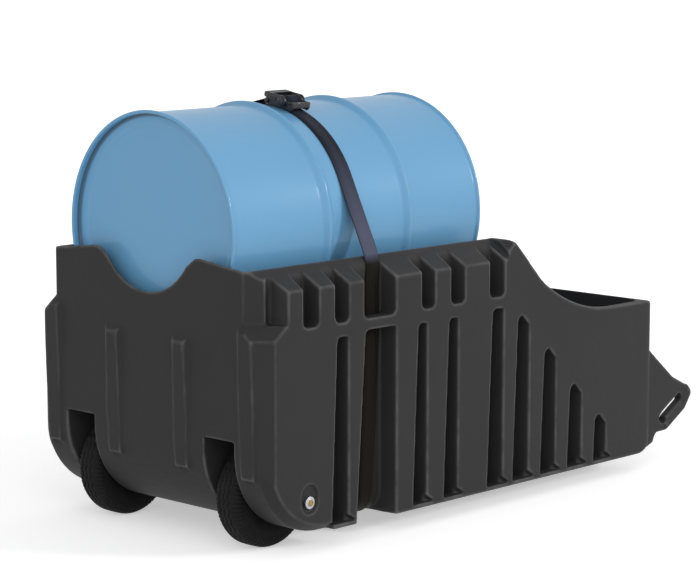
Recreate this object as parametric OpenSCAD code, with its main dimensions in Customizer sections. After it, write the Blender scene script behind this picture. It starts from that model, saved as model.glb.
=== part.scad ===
// Drum trolley: a moulded tub on two air-filled wheels that carries one steel drum
// lying on its side, held down by a webbing strap with a ratchet.
// X runs from the rear to the nose, Z up from the floor. Inside the modules X is a
// station: the distance from the outer face of the rear wall. in_place() moves the
// stations so that the origin lies under the middle of the whole length.

/* [Tub] */
// Length from the rear wall to the nose's end wall
body_l = 1486; // [1460:1:1560]
// Width over the side buttresses
body_w = 822; // [806:1:850]
// Depth of the buttresses in front of the tub's side wall
buttress_d = 50; // [44:1:56]
// Height of the underside above the floor
base_z = 50; // [44:1:60]
// Height of the side rim above the floor
rim_z = 690; // [682:1:700]
// Height of the rear wall's shoulders above the side rim
shoulder_h = 16; // [8:1:24]
// Height of the nose trough's rim above the floor
nose_z = 471; // [455:1:480]
// Thickness of the moulded rear wall
rear_t = 9; // [6:0.5:10]
// Thickness of the hollow side wall beside the drum
side_t = 24; // [18:1:30]
// Thickness of the trough's rolled rim
nose_t = 26; // [20:1:32]
// Thickness of the double floor
floor_t = 22; // [16:1:28]
// Radius of the notch in the rear wall
notch_r = 171; // [160:1:180]
// Half the distance between the shoulders beside the notch
shoulder_y = 175; // [172:1:190]

/* [Side buttresses] */
// Height of the lower edge of the belt between pockets and grooves
belt_z = 515; // [505:1:525]
// Height of the belt
belt_h = 34; // [28:1:40]
// Height where the pads start to slope in to the rim
pad_z = 642; // [634:1:650]
// Draft of groove and pocket walls, in degrees
draft = 8; // [4:1:12]

/* [Drum] */
// Length of the steel drum
drum_l = 880; // [870:1:884]
// Outer radius of the drum's shell
shell_r = 286; // [282:1:288]
// Height of the rolling hoops over the shell
hoop_h = 12; // [9:0.5:13]
// Radius over the rolled chimes
chime_r = 292; // [290:0.5:295]
// Sheet thickness of shell and heads
sheet_t = 1.2; // [1:0.1:1.5]
// Height of the drum's axis above the floor
drum_z = 754; // [748:1:765]
// Gap between the rear wall and the drum's rear chime
drum_gap = 5; // [3:0.5:12]
// Depth of the heads behind the chimes
head_in = 18; // [14:1:22]

/* [Wheels] */
// Radius of the tyre's tread
tyre_r = 130; // [125:1:133]
// Width of the tyre
tyre_w = 80; // [74:1:84]
// Distance of the wheel's middle from the face of the buttresses
wheel_in = 161; // [159:1:163]
// Station of the axle
axle_s = 146; // [140:1:155]
// Diameter of the axle
axle_d = 20; // [16:0.5:22]
// Width of the wheel well
well_w = 102; // [98:1:106]
// Height of the well's roof above the floor
well_z = 281; // [275:1:292]
// Radius of the wheel's rim at the tyre bead
bead_r = 51; // [48:0.5:54]

/* [Hand grips] */
// Reach of the hand grips beyond the end wall
grip_reach = 198; // [196:1:210]
// Diameter of the grip bar
grip_d = 37; // [34:1:40]
// Thickness of the plate beside the grip bar
grip_t = 26; // [22:1:30]
// Distance of the grip plate's middle from the face of the buttresses
grip_in = 26; // [24:1:30]

/* [Foot] */
// Width of the foot under the nose
foot_w = 240; // [200:5:260]
// Length of the foot's resting face
foot_l = 120; // [100:5:140]
// Station of the middle of the foot
foot_s = 1260; // [1200:5:1290]

/* [Strap and ratchet] */
// Width of the webbing
web_w = 50; // [44:0.5:52]
// Thickness of the webbing
web_t = 2.5; // [1.8:0.1:3]
// Station of the strap over the drum
strap_s = 420; // [415:1:425]
// Station of the strap where it bends over the side rim
bend_s = 410; // [405:1:415]
// Station of the strap under the tub
under_s = 386; // [380:1:400]
// Lean of the ratchet from the top of the drum, in degrees
ratchet_a = 11.5; // [6:0.5:16]
// Outer radius of the toothed ratchet wheels
gear_r = 16; // [15:0.5:17]
// Number of teeth on a ratchet wheel
gear_n = 12; // [10:2:14]
// Thickness of the ratchet's pressed steel
plate_t = 2.5; // [2:0.1:3]
// Diameter of the ratchet's spool
spool_d = 19; // [17:0.5:20]

/* [Hidden] */

$fn = 72;
eps = 0.01;
// Height of the rear wall's ribs and posts over the wall
rib_h = 12;
total_l = rib_h + body_l + grip_reach;
half_w = body_w/2;
tub_y = half_w - buttress_d;
inner_y = tub_y - side_t;
nose_y = half_w - nose_t;
wheel_y = half_w - wheel_in;
grip_y = half_w - grip_in;
floor_z = base_z + floor_t;
shoulder_z = rim_z + shoulder_h;
// Gap left between pieces of one body that only rest on each other
seat = 0.3;
// Radial clearance of shafts and pins in their holes
run = 0.05;

hoop_r = shell_r + hoop_h;
drum_s = rear_t + drum_gap;
hoop_at = [0.366*drum_l, 0.69*drum_l];

char_black = "#3f4042";
blue_paint = "#71a1c7";
zinc = "#b9bcc0";
web_navy = "#2b2c38";

// Points of an arc around (cx, cz) from angle a0 to angle a1
function arc(cx, cz, r, a0, a1, n = 8) =
    [for (i = [0:n]) let (a = a0 + (a1 - a0)*i/n) [cx + r*cos(a), cz + r*sin(a)]];

module in_place() { translate([-total_l/2 + rib_h, 0, 0]) children(); }

// Extrudes an outline drawn in station and height over a width centred on y = 0
module across(w) { rotate([90, 0, 0]) linear_extrude(w, center = true) children(); }

// The same, from distance y0 to distance y1 on one side of the trolley
module flank(side, y0, y1) {
    translate([0, side > 0 ? y1 : -y0, 0]) rotate([90, 0, 0]) linear_extrude(y1 - y0) children();
}

module both_sides() {
    children();
    mirror([0, 1, 0]) children();
}

// Side outline of the tub

// Radius of the swept corner between rear wall and underside
rear_r = 200;
// Lean of the steep flank between side rim and trough rim
flank_a = 49.5;
// Station where the side rim ends in front of the drum
rim_end_s = drum_s + drum_l - 4;
rim_r = 26;
hollow_r1 = 200;
hollow_a = 34;
hollow_r2 = 520;
end_r = 28;
toe_r = 62;

// The rim's fall to the trough: a steep line, a short hollow and a long one
hollow_s0 = rim_end_s + rim_r*tan(flank_a/2)
    + (rim_z - nose_z - hollow_r2*(1 - cos(hollow_a))
       - hollow_r1*(cos(hollow_a) - cos(flank_a)))/tan(flank_a);
hollow_s1 = hollow_s0 + hollow_r1*(sin(flank_a) - sin(hollow_a));
hollow_s2 = hollow_s1 + hollow_r2*sin(hollow_a);

module side_outline(top = rim_z) {
    corner_s = rim_end_s - rim_r*tan(flank_a/2);
    polygon(concat(
        [[0, top]],
        arc(rear_r, base_z + rear_r, rear_r, 180, 270, 15),
        arc(body_l - toe_r, base_z + toe_r, toe_r, -90, -20, 6),
        [[body_l, base_z + toe_r + 30]],
        arc(body_l - end_r, nose_z - end_r, end_r, 0, 90, 6),
        arc(hollow_s2, nose_z + hollow_r2, hollow_r2, 270, 270 - hollow_a, 10),
        arc(hollow_s1 + hollow_r1*sin(hollow_a),
            nose_z + hollow_r2*(1 - cos(hollow_a)) + hollow_r1*cos(hollow_a),
            hollow_r1, 270 - hollow_a, 270 - flank_a, 4),
        arc(corner_s, top - rim_r, rim_r, 90 - flank_a, 90, 5)));
}

// Station of each groove below the belt: rear edge, front edge, height of its top
grooves = [[223, 278, belt_z], [306, 447, belt_z + 6], [510, 559, belt_z],
           [624, 675, belt_z], [790, 850, belt_z + 4], [891, 953, 490],
           [1003, 1063, 391], [1115, 1173, 283], [1226, 1279, 186]];
// Station of each pocket above the belt: rear edge, front edge
pockets = [[126, 180], [234, 282], [334, 446], [540, 589], [648, 701], [796, 854]];
// The groove that the strap runs in is open at the underside; the others end in a lip
strap_groove = 1;
lip_h = 11;
// How far a groove's rear edge moves towards the nose on the way up
groove_lean = 18;
strap_groove_lean = 32;
pocket_r = 16;

// Outline of a groove from its foot to its arched top
module groove_outline(g, i) {
    lean = (i == strap_groove ? strap_groove_lean : groove_lean)*(g[2] - base_z)/(belt_z - base_z);
    s0 = g[0] + lean;
    w = g[1] - s0;
    foot_z = i == strap_groove ? base_z - 30 : base_z + lip_h;
    // the grooves beside the trough end in a lancet, those under the belt in a blunt arch
    lancet = i > 4;
    r = lancet ? 0.42*w : 14;
    front_r = lancet ? 0.3*w : 8;
    front_drop = lancet ? 0.7*w : 8;
    polygon(concat([[g[0], foot_z], [g[1], foot_z]],
        arc(g[1] - front_r, g[2] - front_drop, front_r, 0, 60, 3),
        arc(s0 + r, g[2] - r, r, 90, 180, 5)));
}

module pocket_outline(p) {
    z0 = belt_z + belt_h;
    polygon(concat([[p[1], rim_z + 30], [p[0], rim_z + 30]],
        arc(p[0] + pocket_r, z0 + pocket_r, pocket_r, 180, 270, 4),
        arc(p[1] - pocket_r, z0 + pocket_r, pocket_r, 270, 360, 4)));
}

edge_r = 6;

// Slanted hollow in front of a groove's foot, running out in the panel's face
toe_l = 24;
toe_h = 26;
toe_d = 13;

module groove_toe(g) {
    z = base_z + lip_h;
    flank(-1, half_w - toe_d, half_w + 5)
        polygon([[g[1] - 12, z], [g[1] + toe_l - 4, z], [g[1] + toe_l, z + 3], [g[1] - 12, z + toe_h]]);
}

// A trench that narrows from the buttress face to the tub wall, from s0 to s1, with
// broken edges at its mouth. It runs deeper than the wall, which the core fills again.
module trench(s0, s1) {
    slope = buttress_d*tan(draft);
    lap = 4;
    translate([0, 0, base_z - 40]) linear_extrude(rim_z - base_z + 80)
        polygon([[s0 - edge_r - lap, -half_w - lap], [s1 + edge_r + lap, -half_w - lap],
                 [s1 + edge_r, -half_w], [s1 - edge_r*tan(draft), -half_w + edge_r],
                 [s1 - slope, -tub_y], [s1 - slope, -keel_y], [s0 + slope*0.3, -keel_y],
                 [s0 + slope*0.3, -tub_y], [s0, -half_w + edge_r], [s0 - edge_r, -half_w]]);
}

// Radius of the tub's keel behind the buttresses, and where its flat underside ends
keel_r = 60;
keel_y = tub_y - keel_r;
// Radius of the side rim's rounded top, and how far its centre lies below the rim
crest_r = 40;
crest_drop = 34;

// Half cross-section of the tub inside the buttresses: keel, wall and rounded side rim
module core_section(top = rim_z) {
    crest_a = asin(crest_drop/crest_r);
    polygon(concat([[0, base_z]], arc(keel_y, base_z + keel_r, keel_r, -90, 0, 10),
        arc(tub_y - crest_r, rim_z - crest_drop, crest_r, 0, crest_a, 8), [[0, top]]));
}

module side_cuts() {
    difference() {
        union() {
            for (i = [0:len(grooves) - 1]) intersection() {
                trench(grooves[i][0], grooves[i][1]);
                flank(-1, keel_y, half_w + 10) groove_outline(grooves[i], i);
            }
            for (p = pockets) intersection() {
                trench(p[0], p[1]);
                flank(-1, keel_y, half_w + 10) pocket_outline(p);
            }
            for (i = [0:len(grooves) - 1]) if (i != strap_groove) groove_toe(grooves[i]);
        }
        section_run(body_l) core_section();
    }
}

// Height of the channel that leads the strap behind the belt
keeper_t = 8;

// Channel behind the belt, beside the wall of the strap's pocket
module strap_keeper() {
    s0 = pockets[2][0] + 34;
    s1 = pockets[2][1] - buttress_d*tan(draft);
    translate([s0, -tub_y - keeper_t, belt_z - 20]) cube([s1 - s0, keeper_t, belt_h + 60]);
}

// Half cross-sections, from the middle out and up

// Beside the drum: buttress, sloping pad top and rounded rim
module drum_section() {
    crest_a = asin(crest_drop/crest_r);
    crest = arc(tub_y - crest_r, rim_z - crest_drop, crest_r, 0.55*crest_a, crest_a, 5);
    polygon(concat([[0, base_z - 20], [half_w, base_z - 20], [half_w, pad_z]], crest,
        [[0, rim_z]]));
}

// Station where the side wall flares out to the trough's wall, and the flare's length
flare_s = 868;
flare_l = 46;

// Slanted cut that ends the last pad where the wall flares out
module flare_cut() {
    p = [pockets[5][1], half_w, pad_z + 6];
    u = [flare_l, 0, rim_z - p[2]];
    v = [0, -buttress_d, rim_z - 4 - p[2]];
    n = -cross(u, v);
    intersection() {
        translate(p) rotate([0, acos(n[2]/norm(n)), atan2(n[1], n[0])])
            translate([-100, -100, 0]) cube([200, 200, 90]);
        translate([p[0] - edge_r - 1, 0, 0]) cube([2*flare_l, body_w, 2*rim_z]);
    }
}

// Cut rear corners: along the trolley, and across it
chamfer_s = 32;
chamfer_y = 31;
// The same cut along the swept corner and the underside behind the first groove
sweep_cut = 19;

// Plan of the tub: cut rear corners and rounded nose corners
module plan_outline() {
    r = 30;
    half = concat([[0, 0], [0, half_w - chamfer_y], [chamfer_s, half_w]],
        arc(body_l - r, half_w - r, r, 90, 0, 5), [[body_l, 0]]);
    union() {
        polygon(half);
        mirror([0, 1]) polygon(half);
    }
}

// Height of the shelf where the rear corners step in
shelf_z = 530;
shelf_h = 32;
// Depth of the sloping facet, measured along the cut corner's normal
facet_d = 28;

// The deeper cut of the rear corner above the shelf, with the shelf's sloping facet. The
// first pad ends in a slope in front of it, with a slot between the two.
module corner_cut() {
    pad_s = pockets[0][0] - 50;
    translate([0, 0, shelf_z + shelf_h])
        linear_extrude(rim_z) polygon([[-rib_h - 5, -half_w - 5], [pad_s, -half_w - 5], [pad_s, -half_w],
            [pad_s - 12, -tub_y], [pad_s - 24, -tub_y], [pad_s - 36, -tub_y - 10],
            [-1, -inner_y + 1], [-rib_h - 5, -inner_y + 14]]);
    // runs square to the line through the facet's two lower corners
    translate([0, -half_w + chamfer_y, shelf_z]) rotate([0, 0, -atan2(chamfer_y, chamfer_s)])
        rotate([90, 0, 90]) translate([0, 0, -120]) linear_extrude(240)
        polygon([[0, 0], [-40, 0], [-40, shelf_h + 1], [facet_d*(shelf_h + 1)/shelf_h, shelf_h + 1]]);
}

// Carries the corner's cut on round the swept corner and along the underside
module sweep_chamfer() {
    y0 = half_w - chamfer_y;
    ring = [[rear_r, 0], [rear_r - sweep_cut, chamfer_y], [rear_r - sweep_cut, chamfer_y + 5],
            [rear_r + 20, chamfer_y + 5], [rear_r + 20, 0]];
    intersection() {
        translate([rear_r, -y0, base_z + rear_r]) rotate([90, 0, 0])
            rotate_extrude($fn = 120) polygon(ring);
        translate([-30, -half_w - 10, base_z - 30]) cube([rear_r + 30, chamfer_y + 20, rear_r + 30]);
    }
    translate([rear_r - eps, -y0, base_z]) rotate([90, 0, 90])
        linear_extrude(grooves[0][0] + 4 - rear_r)
        polygon([[0, 0], [-chamfer_y, sweep_cut], [-chamfer_y - 5, sweep_cut],
                 [-chamfer_y - 5, -10], [0, -10]]);
}

module outer_skin() {
    intersection() {
        across(body_w + 20) side_outline();
        translate([0, 0, base_z - 20]) linear_extrude(shoulder_z) plan_outline();
        union() {
            translate([-1, 0, 0]) section_run(flare_s + 1) drum_section();
            translate([flare_s - eps, -half_w, 0]) cube([body_l, body_w, shoulder_z]);
        }
    }
    rear_wall();
}

module section_run(l) {
    rotate([90, 0, 90]) linear_extrude(l) {
        children();
        mirror([1, 0]) children();
    }
}

// Rear wall above the side rim: shoulders that fall away to the corners
module rear_wall() {
    fall_y = tub_y - 16;
    rotate([90, 0, 90]) linear_extrude(rear_t) polygon([
        [-fall_y, belt_z], [-fall_y, rim_z - 2], [-shoulder_y - 16, shoulder_z],
        [shoulder_y + 16, shoulder_z], [fall_y, rim_z - 2], [fall_y, belt_z]]);
}

// Height of the notch's centre above the floor
notch_z = 780;

// Notch in the rear wall, with cut shoulders
module notch() {
    translate([-rib_h - 5, 0, notch_z]) rotate([0, 90, 0]) cylinder(h = 80, r = notch_r, $fn = 96);
    edge_y = sqrt(pow(notch_r, 2) - pow(notch_z - shoulder_z + 22, 2));
    rotate([90, 0, 90]) translate([0, 0, -rib_h - 5]) linear_extrude(80)
        polygon([[-shoulder_y, shoulder_z + 1], [-edge_y, shoulder_z - 22],
                 [edge_y, shoulder_z - 22], [shoulder_y, shoulder_z + 1]]);
}

// Inside of the tub: drum bay with the trough in front of it
module inside() {
    front_s = body_l - nose_t;
    difference() {
        union() {
            // behind the swept corner the bay keeps the rear wall's thickness
            intersection() {
                translate([rear_t, -inner_y, floor_z]) cube([rim_end_s - rear_t, 2*inner_y, rim_z]);
                across(body_w) polygon(concat([[rear_t, 2*rim_z]],
                    arc(rear_r, base_z + rear_r, rear_r - rear_t, 180, 270, 15),
                    [[body_l, base_z + rear_t], [body_l, 2*rim_z]]));
            }
            translate([0, 0, floor_z]) tray(rim_end_s - 60, front_s - 14, inner_y);
            // wider above the grooves, whose tops fall towards the nose
            intersection() {
                translate([0, 0, floor_z]) tray(flare_s + 24, front_s, nose_y);
                across(body_w) polygon([[flare_s, belt_z + 45], [grooves[6][0], grooves[5][2] - 20],
                    [grooves[8][1] + 3, grooves[8][2] + 19], [body_l, grooves[8][2] - 16],
                    [body_l, rim_z + 99], [flare_s, rim_z + 99]]);
            }
        }
        for (side = [-1, 1]) well_box(side, wall_t, wall_t);
    }
}

wall_t = 9;

// Space of a tray from station s0 to s1 with rounded front corners
module tray(s0, s1, y) {
    r = 40;
    linear_extrude(rim_z) polygon(concat(
        [[s0, -y]], arc(s1 - r, -y + r, r, -90, 0, 5), arc(s1 - r, y - r, r, 0, 90, 5), [[s0, y]]));
}

// Space of a wheel well, or with wall > 0 the moulded box around it
module well_box(side, wall = 0, roof = 0) {
    w = well_w + 2*wall;
    translate([-rib_h - 20, side*wheel_y - w/2, base_z - 40])
        cube([axle_s + tyre_r + 16 + rib_h + 20 + wall, w, well_z + roof - base_z + 40]);
}

// Ribs across the bay that carry the drum's shell
saddle_t = 52;
// Distance of the saddles from the drum's rear and front end
saddle_rear = 120;
saddle_front = 93;
saddles = [drum_s + saddle_rear, drum_s + drum_l - saddle_front - saddle_t];
saddle_z = 545;

module saddle(s) {
    translate([s, 0, 0]) rotate([90, 0, 90]) linear_extrude(saddle_t)
        polygon([[-inner_y - 2, floor_z - 2], [inner_y + 2, floor_z - 2],
                 [inner_y + 2, saddle_z + 30], [inner_y - 30, saddle_z],
                 [-inner_y + 30, saddle_z], [-inner_y - 2, saddle_z + 30]]);
}

// Ribs and corner posts on the rear wall: middle, width at the top, width at the foot
// and height of the top
rear_ribs = [[121, 54, 44, belt_z], [half_w - 62, 60, 44, belt_z + 41]];
// How far the ribs stand out at their feet, which end over a notch in the wall
rib_low_h = 3;
rib_z = 198;

module rear_rib(y, w_top, w_low, top) {
    root = rear_t - 2;
    translate([0, y, 0]) intersection() {
        rotate([90, 0, -90]) linear_extrude(rib_h + 60, center = true)
            polygon([[-w_low/2, rib_z - 8], [w_low/2, rib_z - 8], [w_top/2, top], [-w_top/2, top]]);
        linear_extrude(shoulder_z) polygon([[root, -w_top/2], [0, -w_top/2],
            [-rib_h, -w_top/2 + 7], [-rib_h, w_top/2 - 7], [0, w_top/2], [root, w_top/2]]);
        across(w_top + 4) polygon([[root, rib_z - 8], [root, rib_z - 4], [-rib_low_h, rib_z],
            [-rib_h, top - 12], [0, top], [root, top]]);
    }
}

module rib_notch(y, w_low) {
    translate([-5, y - w_low/2 + 6, rib_z - 20]) cube([17, w_low - 12, 18]);
}

// Hand grip: a plate in the line of the side wall with a round bar along its lower edge,
// which bends up at the tip
bar_a = 30;
bar_low = [body_l + 79, 110];
bar_bend = bar_low + 87*[cos(bar_a), sin(bar_a)];
bar_tip = [body_l + grip_reach - grip_d/2, bar_bend[1] + 33];
grip_top = 213;

module grip_plate() {
    crown_r = 21;
    polygon([[body_l - 20, 350], [body_l, 329], [body_l + 107, 242], [bar_tip[0] - 12, grip_top],
        [bar_tip[0] - 6, grip_top - crown_r], bar_tip, bar_bend, bar_low,
        bar_low - [0, 16], [body_l + 36, 93], [body_l + 28, 84], [body_l + 21, 68],
        [body_l - 30, base_z]]);
    translate([bar_tip[0] - 12, grip_top - crown_r]) circle(crown_r);
}

// Finger slot beside the grip bar, wider at its low end
slot_r = 11;
slot_low_r = 15;
slot_l = 84;

module grip_slot() {
    up = [-sin(bar_a), cos(bar_a)];
    along = [cos(bar_a), sin(bar_a)];
    p0 = bar_low + up*(grip_d/2 + 0.5 + slot_r) + along*2;
    for (p = [p0, p0 + along*slot_l]) translate(p) circle(slot_r);
    translate(p0) rotate(bar_a) translate([0, -slot_r]) square([slot_l, 2*slot_r]);
}

// Length of the bar from p to q, run on past both by lap
module grip_run(p, q, lap = 0) {
    d = (q - p)/norm(q - p);
    translate([p[0] - lap*d[0], grip_y, p[1] - lap*d[1]]) rotate([0, atan2(d[0], d[1]), 0])
        cylinder(h = norm(q - p) + 2*lap, d = grip_d);
}

module grip() {
    difference() {
        union() {
            flank(1, grip_y - grip_t/2, grip_y + grip_t/2) grip_plate();
            grip_run(bar_low, bar_bend, 4);
            grip_run(bar_bend - [3, 4], bar_tip);
            translate([bar_tip[0], grip_y, bar_tip[1]]) sphere(d = grip_d);
        }
        flank(1, grip_y - grip_t, grip_y + grip_t) {
            grip_slot();
            translate(bar_low + slot_low_r*[-0.95, 1.35]) circle(slot_low_r);
        }
    }
}

// Foot under the nose: the third point that the trolley stands on
module foot() {
    across(foot_w) polygon([[foot_s - foot_l/2, 0], [foot_s + foot_l/2, 0],
        [foot_s + foot_l/2 + 18, base_z + 4], [foot_s - foot_l/2 - 18, base_z + 4]]);
}

// Recess in the buttress face round the axle's end
recess_r = 27;
recess_h = 16;
recess_d = 8;

module axle_recess() {
    translate([axle_s, -half_w - recess_d, tyre_r]) rotate([-90, 0, 0]) {
        cylinder(h = 2*recess_d, r = recess_r);
        translate([0, -recess_h, 0]) cylinder(h = 2*recess_d, r = recess_r);
        translate([-recess_r, -recess_h, 0]) cube([2*recess_r, recess_h, 2*recess_d]);
    }
}

module body() color(char_black) in_place() {
    difference() {
        union() {
            difference() {
                outer_skin();
                inside();
                both_sides() {
                    side_cuts();
                    sweep_chamfer();
                    flare_cut();
                }
            }
            for (s = saddles) saddle(s);
            for (side = [-1, 1], r = rear_ribs) rear_rib(side*r[0], r[1], r[2], r[3]);
            both_sides() grip();
            foot();
        }
        notch();
        for (side = [-1, 1], r = rear_ribs) rib_notch(side*r[0], r[2]);
        // seat of the drum
        translate([rear_t, 0, drum_z]) rotate([0, 90, 0])
            cylinder(h = drum_gap + drum_l + 40, r = shell_r + seat, $fn = 180);
        for (side = [-1, 1]) well_box(side);
        both_sides() {
            axle_recess();
            strap_keeper();
            corner_cut();
        }
        // axle's bore
        translate([axle_s, 0, tyre_r]) rotate([90, 0, 0])
            cylinder(h = body_w + 20, d = axle_d + 2*run, center = true);
    }
}

// Axle and what sits on it

module along_y(y) { translate([axle_s, y, tyre_r]) rotate([-90, 0, 0]) children(); }

module axle() color(zinc) in_place() {
    along_y(-half_w + 4) cylinder(h = body_w - 8, d = axle_d);
}

cap_r = 15;

module axle_caps() in_place() {
    for (side = [-1, 1]) mirror([0, side > 0 ? 1 : 0, 0]) along_y(-half_w - 3) {
        color("#c2a24e") cylinder(h = 6, r = 8);
        color(zinc) difference() {
            translate([0, 0, 3]) cylinder(h = 7.9, r = cap_r);
            translate([0, 0, 7 - eps]) cylinder(h = 20, d = axle_d + 2*run);
        }
    }
}

hub_half = 36;
washer_t = 2;
washer_r = 17;
spacer_r = 14;

module axle_washers() color(zinc) in_place() {
    for (side = [-1, 1], end = [-1, 1])
        along_y(side*wheel_y + end*(hub_half + seat/2 + washer_t/2) - washer_t/2)
            difference() {
                cylinder(h = washer_t, r = washer_r);
                translate([0, 0, -1]) cylinder(h = washer_t + 2, d = axle_d + 2*run);
            }
}

spacer_l = well_w/2 - hub_half - washer_t - 3*seat/2;

module axle_spacers() color(zinc) in_place() {
    for (side = [-1, 1], end = [-1, 1])
        along_y(side*wheel_y + end*(well_w/2 - seat/2 - spacer_l/2) - spacer_l/2)
            difference() {
                cylinder(h = spacer_l, r = spacer_r);
                translate([0, 0, -1]) cylinder(h = spacer_l + 2, d = axle_d + 2*run);
            }
}

// One wheel, turned about its own axis; side -1 is the near wheel

// local Z points away from the trolley's middle
module wheel_at(side) {
    in_place() translate([axle_s, side*wheel_y, tyre_r]) rotate([side > 0 ? -90 : 90, 0, 0])
        children();
}

bead_w = 42;
tyre_t = 7;

// Half of the tyre's outline: tread, shoulder, sidewall and bead
function tyre_half() = concat(
    [[0, tyre_r], [tyre_w/2 - 24, tyre_r - 1]],
    [for (a = [75:-15:-15]) [tyre_w/2 - 26 + 26*cos(a), tyre_r - 27 + 26*sin(a)]],
    [[tyre_w/2 - 4, tyre_r - 48], [bead_w/2 + 8, bead_r + 12], [bead_w/2, bead_r + 9],
     [bead_w/2 - 1, bead_r + seat]]);
function tyre_inner() = concat(
    [[bead_w/2 - 8, bead_r + seat], [bead_w/2 - 8, bead_r + 12]],
    [for (a = [-20:20:80]) [tyre_w/2 - 28 + 21*cos(a), tyre_r - 29 + 21*sin(a)]],
    [[0, tyre_r - tyre_t - 2]]);
function flip(pts) = [for (i = [len(pts) - 1:-1:0]) [-pts[i][0], pts[i][1]]];

// Turns an outline of [distance along the axis, radius] points about the axis
module turned(pts, fn = 96) {
    rotate_extrude($fn = fn) polygon([for (p = pts) [p[1], p[0]]]);
}

module tyre() color("#1f1f20") difference() {
    turned(concat(tyre_half(), tyre_inner(), flip(tyre_inner()), flip(tyre_half())));
    for (y = [-15, 0, 15]) turned([[y - 2, tyre_r - 4], [y + 2, tyre_r - 4],
                                   [y + 2, tyre_r + 4], [y - 2, tyre_r + 4]]);
}

// Air tube: an oval ring, pinched towards the rim
module tube() color("#2a2a2b") difference() {
    turned(tube_skin(0));
    turned(tube_skin(2.6));
}

function tube_skin(in) = let (r0 = bead_r + 8, r1 = tyre_r - tyre_t - 2 - seat, mid = (r0 + r1)/2)
    [for (a = [0:20:340]) [(0.34*tyre_w - in)*cos(a)*(sin(a) < 0 ? 0.55 : 1),
                           mid + ((r1 - r0)/2 - in)*sin(a)]];

disc_gap = 2.15;
disc_r = 43;
rim_t = 2.5;
hub_r = 27;
bolt_r = 34.5;
valve_r = 44.5;

// Pressed half of the split rim: disc, cone, bead seat and flange
module rim_half() {
    flange_y = bead_w/2 + seat;
    turned([[disc_gap, hub_r + seat], [disc_gap, disc_r], [disc_gap + 4, bead_r - rim_t],
            [disc_gap + 4, bead_r], [flange_y, bead_r], [flange_y, bead_r + 8],
            [flange_y + rim_t, bead_r + 8], [flange_y + rim_t, bead_r - rim_t],
            [disc_gap + 4 + rim_t, bead_r - rim_t], [disc_gap + rim_t, disc_r],
            [disc_gap + rim_t, hub_r + seat]]);
}

module bolt_holes() {
    for (a = [45:90:315]) rotate(a) translate([bolt_r, 0, -20]) cylinder(h = 40, r = 3.1);
}

module rim_outer() color("#8d9094") difference() {
    rim_half();
    bolt_holes();
    translate([valve_r, 0, -1]) cylinder(h = 20, r = 3.4);
}

module rim_inner() color("#8d9094") difference() {
    mirror([0, 0, 1]) rim_half();
    bolt_holes();
}

bearing_t = 14;
bearing_r = 23.5;

module hub() color(zinc) difference() {
    union() {
        translate([0, 0, -hub_half]) cylinder(h = 2*hub_half, r = hub_r);
        translate([0, 0, -disc_gap + 0.15]) cylinder(h = 2*disc_gap - 0.3, r = disc_r - 1);
    }
    translate([0, 0, -hub_half - 1]) cylinder(h = 2*hub_half + 2, r = 15);
    for (end = [0, 1]) mirror([0, 0, end]) translate([0, 0, hub_half - bearing_t])
        cylinder(h = bearing_t + 1, r = bearing_r);
    bolt_holes();
}

// Outer ring, shield and inner ring of each bearing, drawn as one turned solid
module bearings() color("#a9adb1") {
    r0 = axle_d/2 + run;
    r1 = bearing_r - run;
    for (end = [0, 1]) mirror([0, 0, end]) translate([0, 0, hub_half - bearing_t + seat/3])
        turned([[0, r0], [0, r1], [bearing_t - seat/3, r1], [bearing_t - seat/3, r1 - 2.5],
                [bearing_t - 1, r1 - 3], [bearing_t - 1, r0 + 3],
                [bearing_t - seat/3, r0 + 2.5], [bearing_t - seat/3, r0]]);
}

module rim_bolts() color(zinc) {
    grip_half = disc_gap + rim_t + 0.1;
    for (a = [45:90:315]) rotate(a) translate([bolt_r, 0, 0]) {
        translate([0, 0, -grip_half - 7]) cylinder(h = 2*grip_half + 8, r = 3);
        translate([0, 0, grip_half]) cylinder(h = 4, r = 5.2, $fn = 6);
        translate([0, 0, -grip_half - 5]) cylinder(h = 5, r = 5.2, $fn = 6);
    }
}

module valve() color("#4b4a48") translate([valve_r, 0, disc_gap + 2.5]) {
    cylinder(h = 21, r = 3.1);
    translate([0, 0, 21 - eps]) cylinder(h = 7, r = 4);
}

module tyre_near() wheel_at(-1) tyre();
module tube_near() wheel_at(-1) tube();
module rim_outer_near() wheel_at(-1) rim_outer();
module rim_inner_near() wheel_at(-1) rim_inner();
module hub_near() wheel_at(-1) hub();
module bearings_near() wheel_at(-1) bearings();
module rim_bolts_near() wheel_at(-1) rim_bolts();
module valve_near() wheel_at(-1) valve();
module tyre_far() wheel_at(1) tyre();
module tube_far() wheel_at(1) tube();
module rim_outer_far() wheel_at(1) rim_outer();
module rim_inner_far() wheel_at(1) rim_inner();
module hub_far() wheel_at(1) hub();
module bearings_far() wheel_at(1) bearings();
module rim_bolts_far() wheel_at(1) rim_bolts();
module valve_far() wheel_at(1) valve();

// Ratchet: its own frame of reference stands on the drum's shell, with local Y along
// the strap towards the far side, Z away from the drum and X along the spool

module at_ratchet() in_place() translate([strap_s, 0, drum_z]) rotate([ratchet_a, 0, 0])
    translate([0, 0, shell_r]) children();

spool_v = -14;
spool_w = 20;
frame_in = web_w/2 + 2;
frame_out = frame_in + plate_t;
gear_t = 3;
gear_in = frame_out + seat;
gear_out = gear_in + gear_t;
handle_in = gear_out + seat;
handle_out = handle_in + plate_t;
spool_half = handle_out + 3.4;
bolt_v = 38;
bolt_w = 10.8;
strap_bolt_r = 4;
pawl_t = 3;
pawl_travel = 3.2;
notch_root = gear_r - 3.4;
eye_r = notch_root;
cover_w = 31;
// The cover starts here, so that it clears the frame when the handle is thrown over
cover_v = 21;
rod_v = 38;
rod_w = 27;
rod_r = 4;
sleeve_t = 3;

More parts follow.
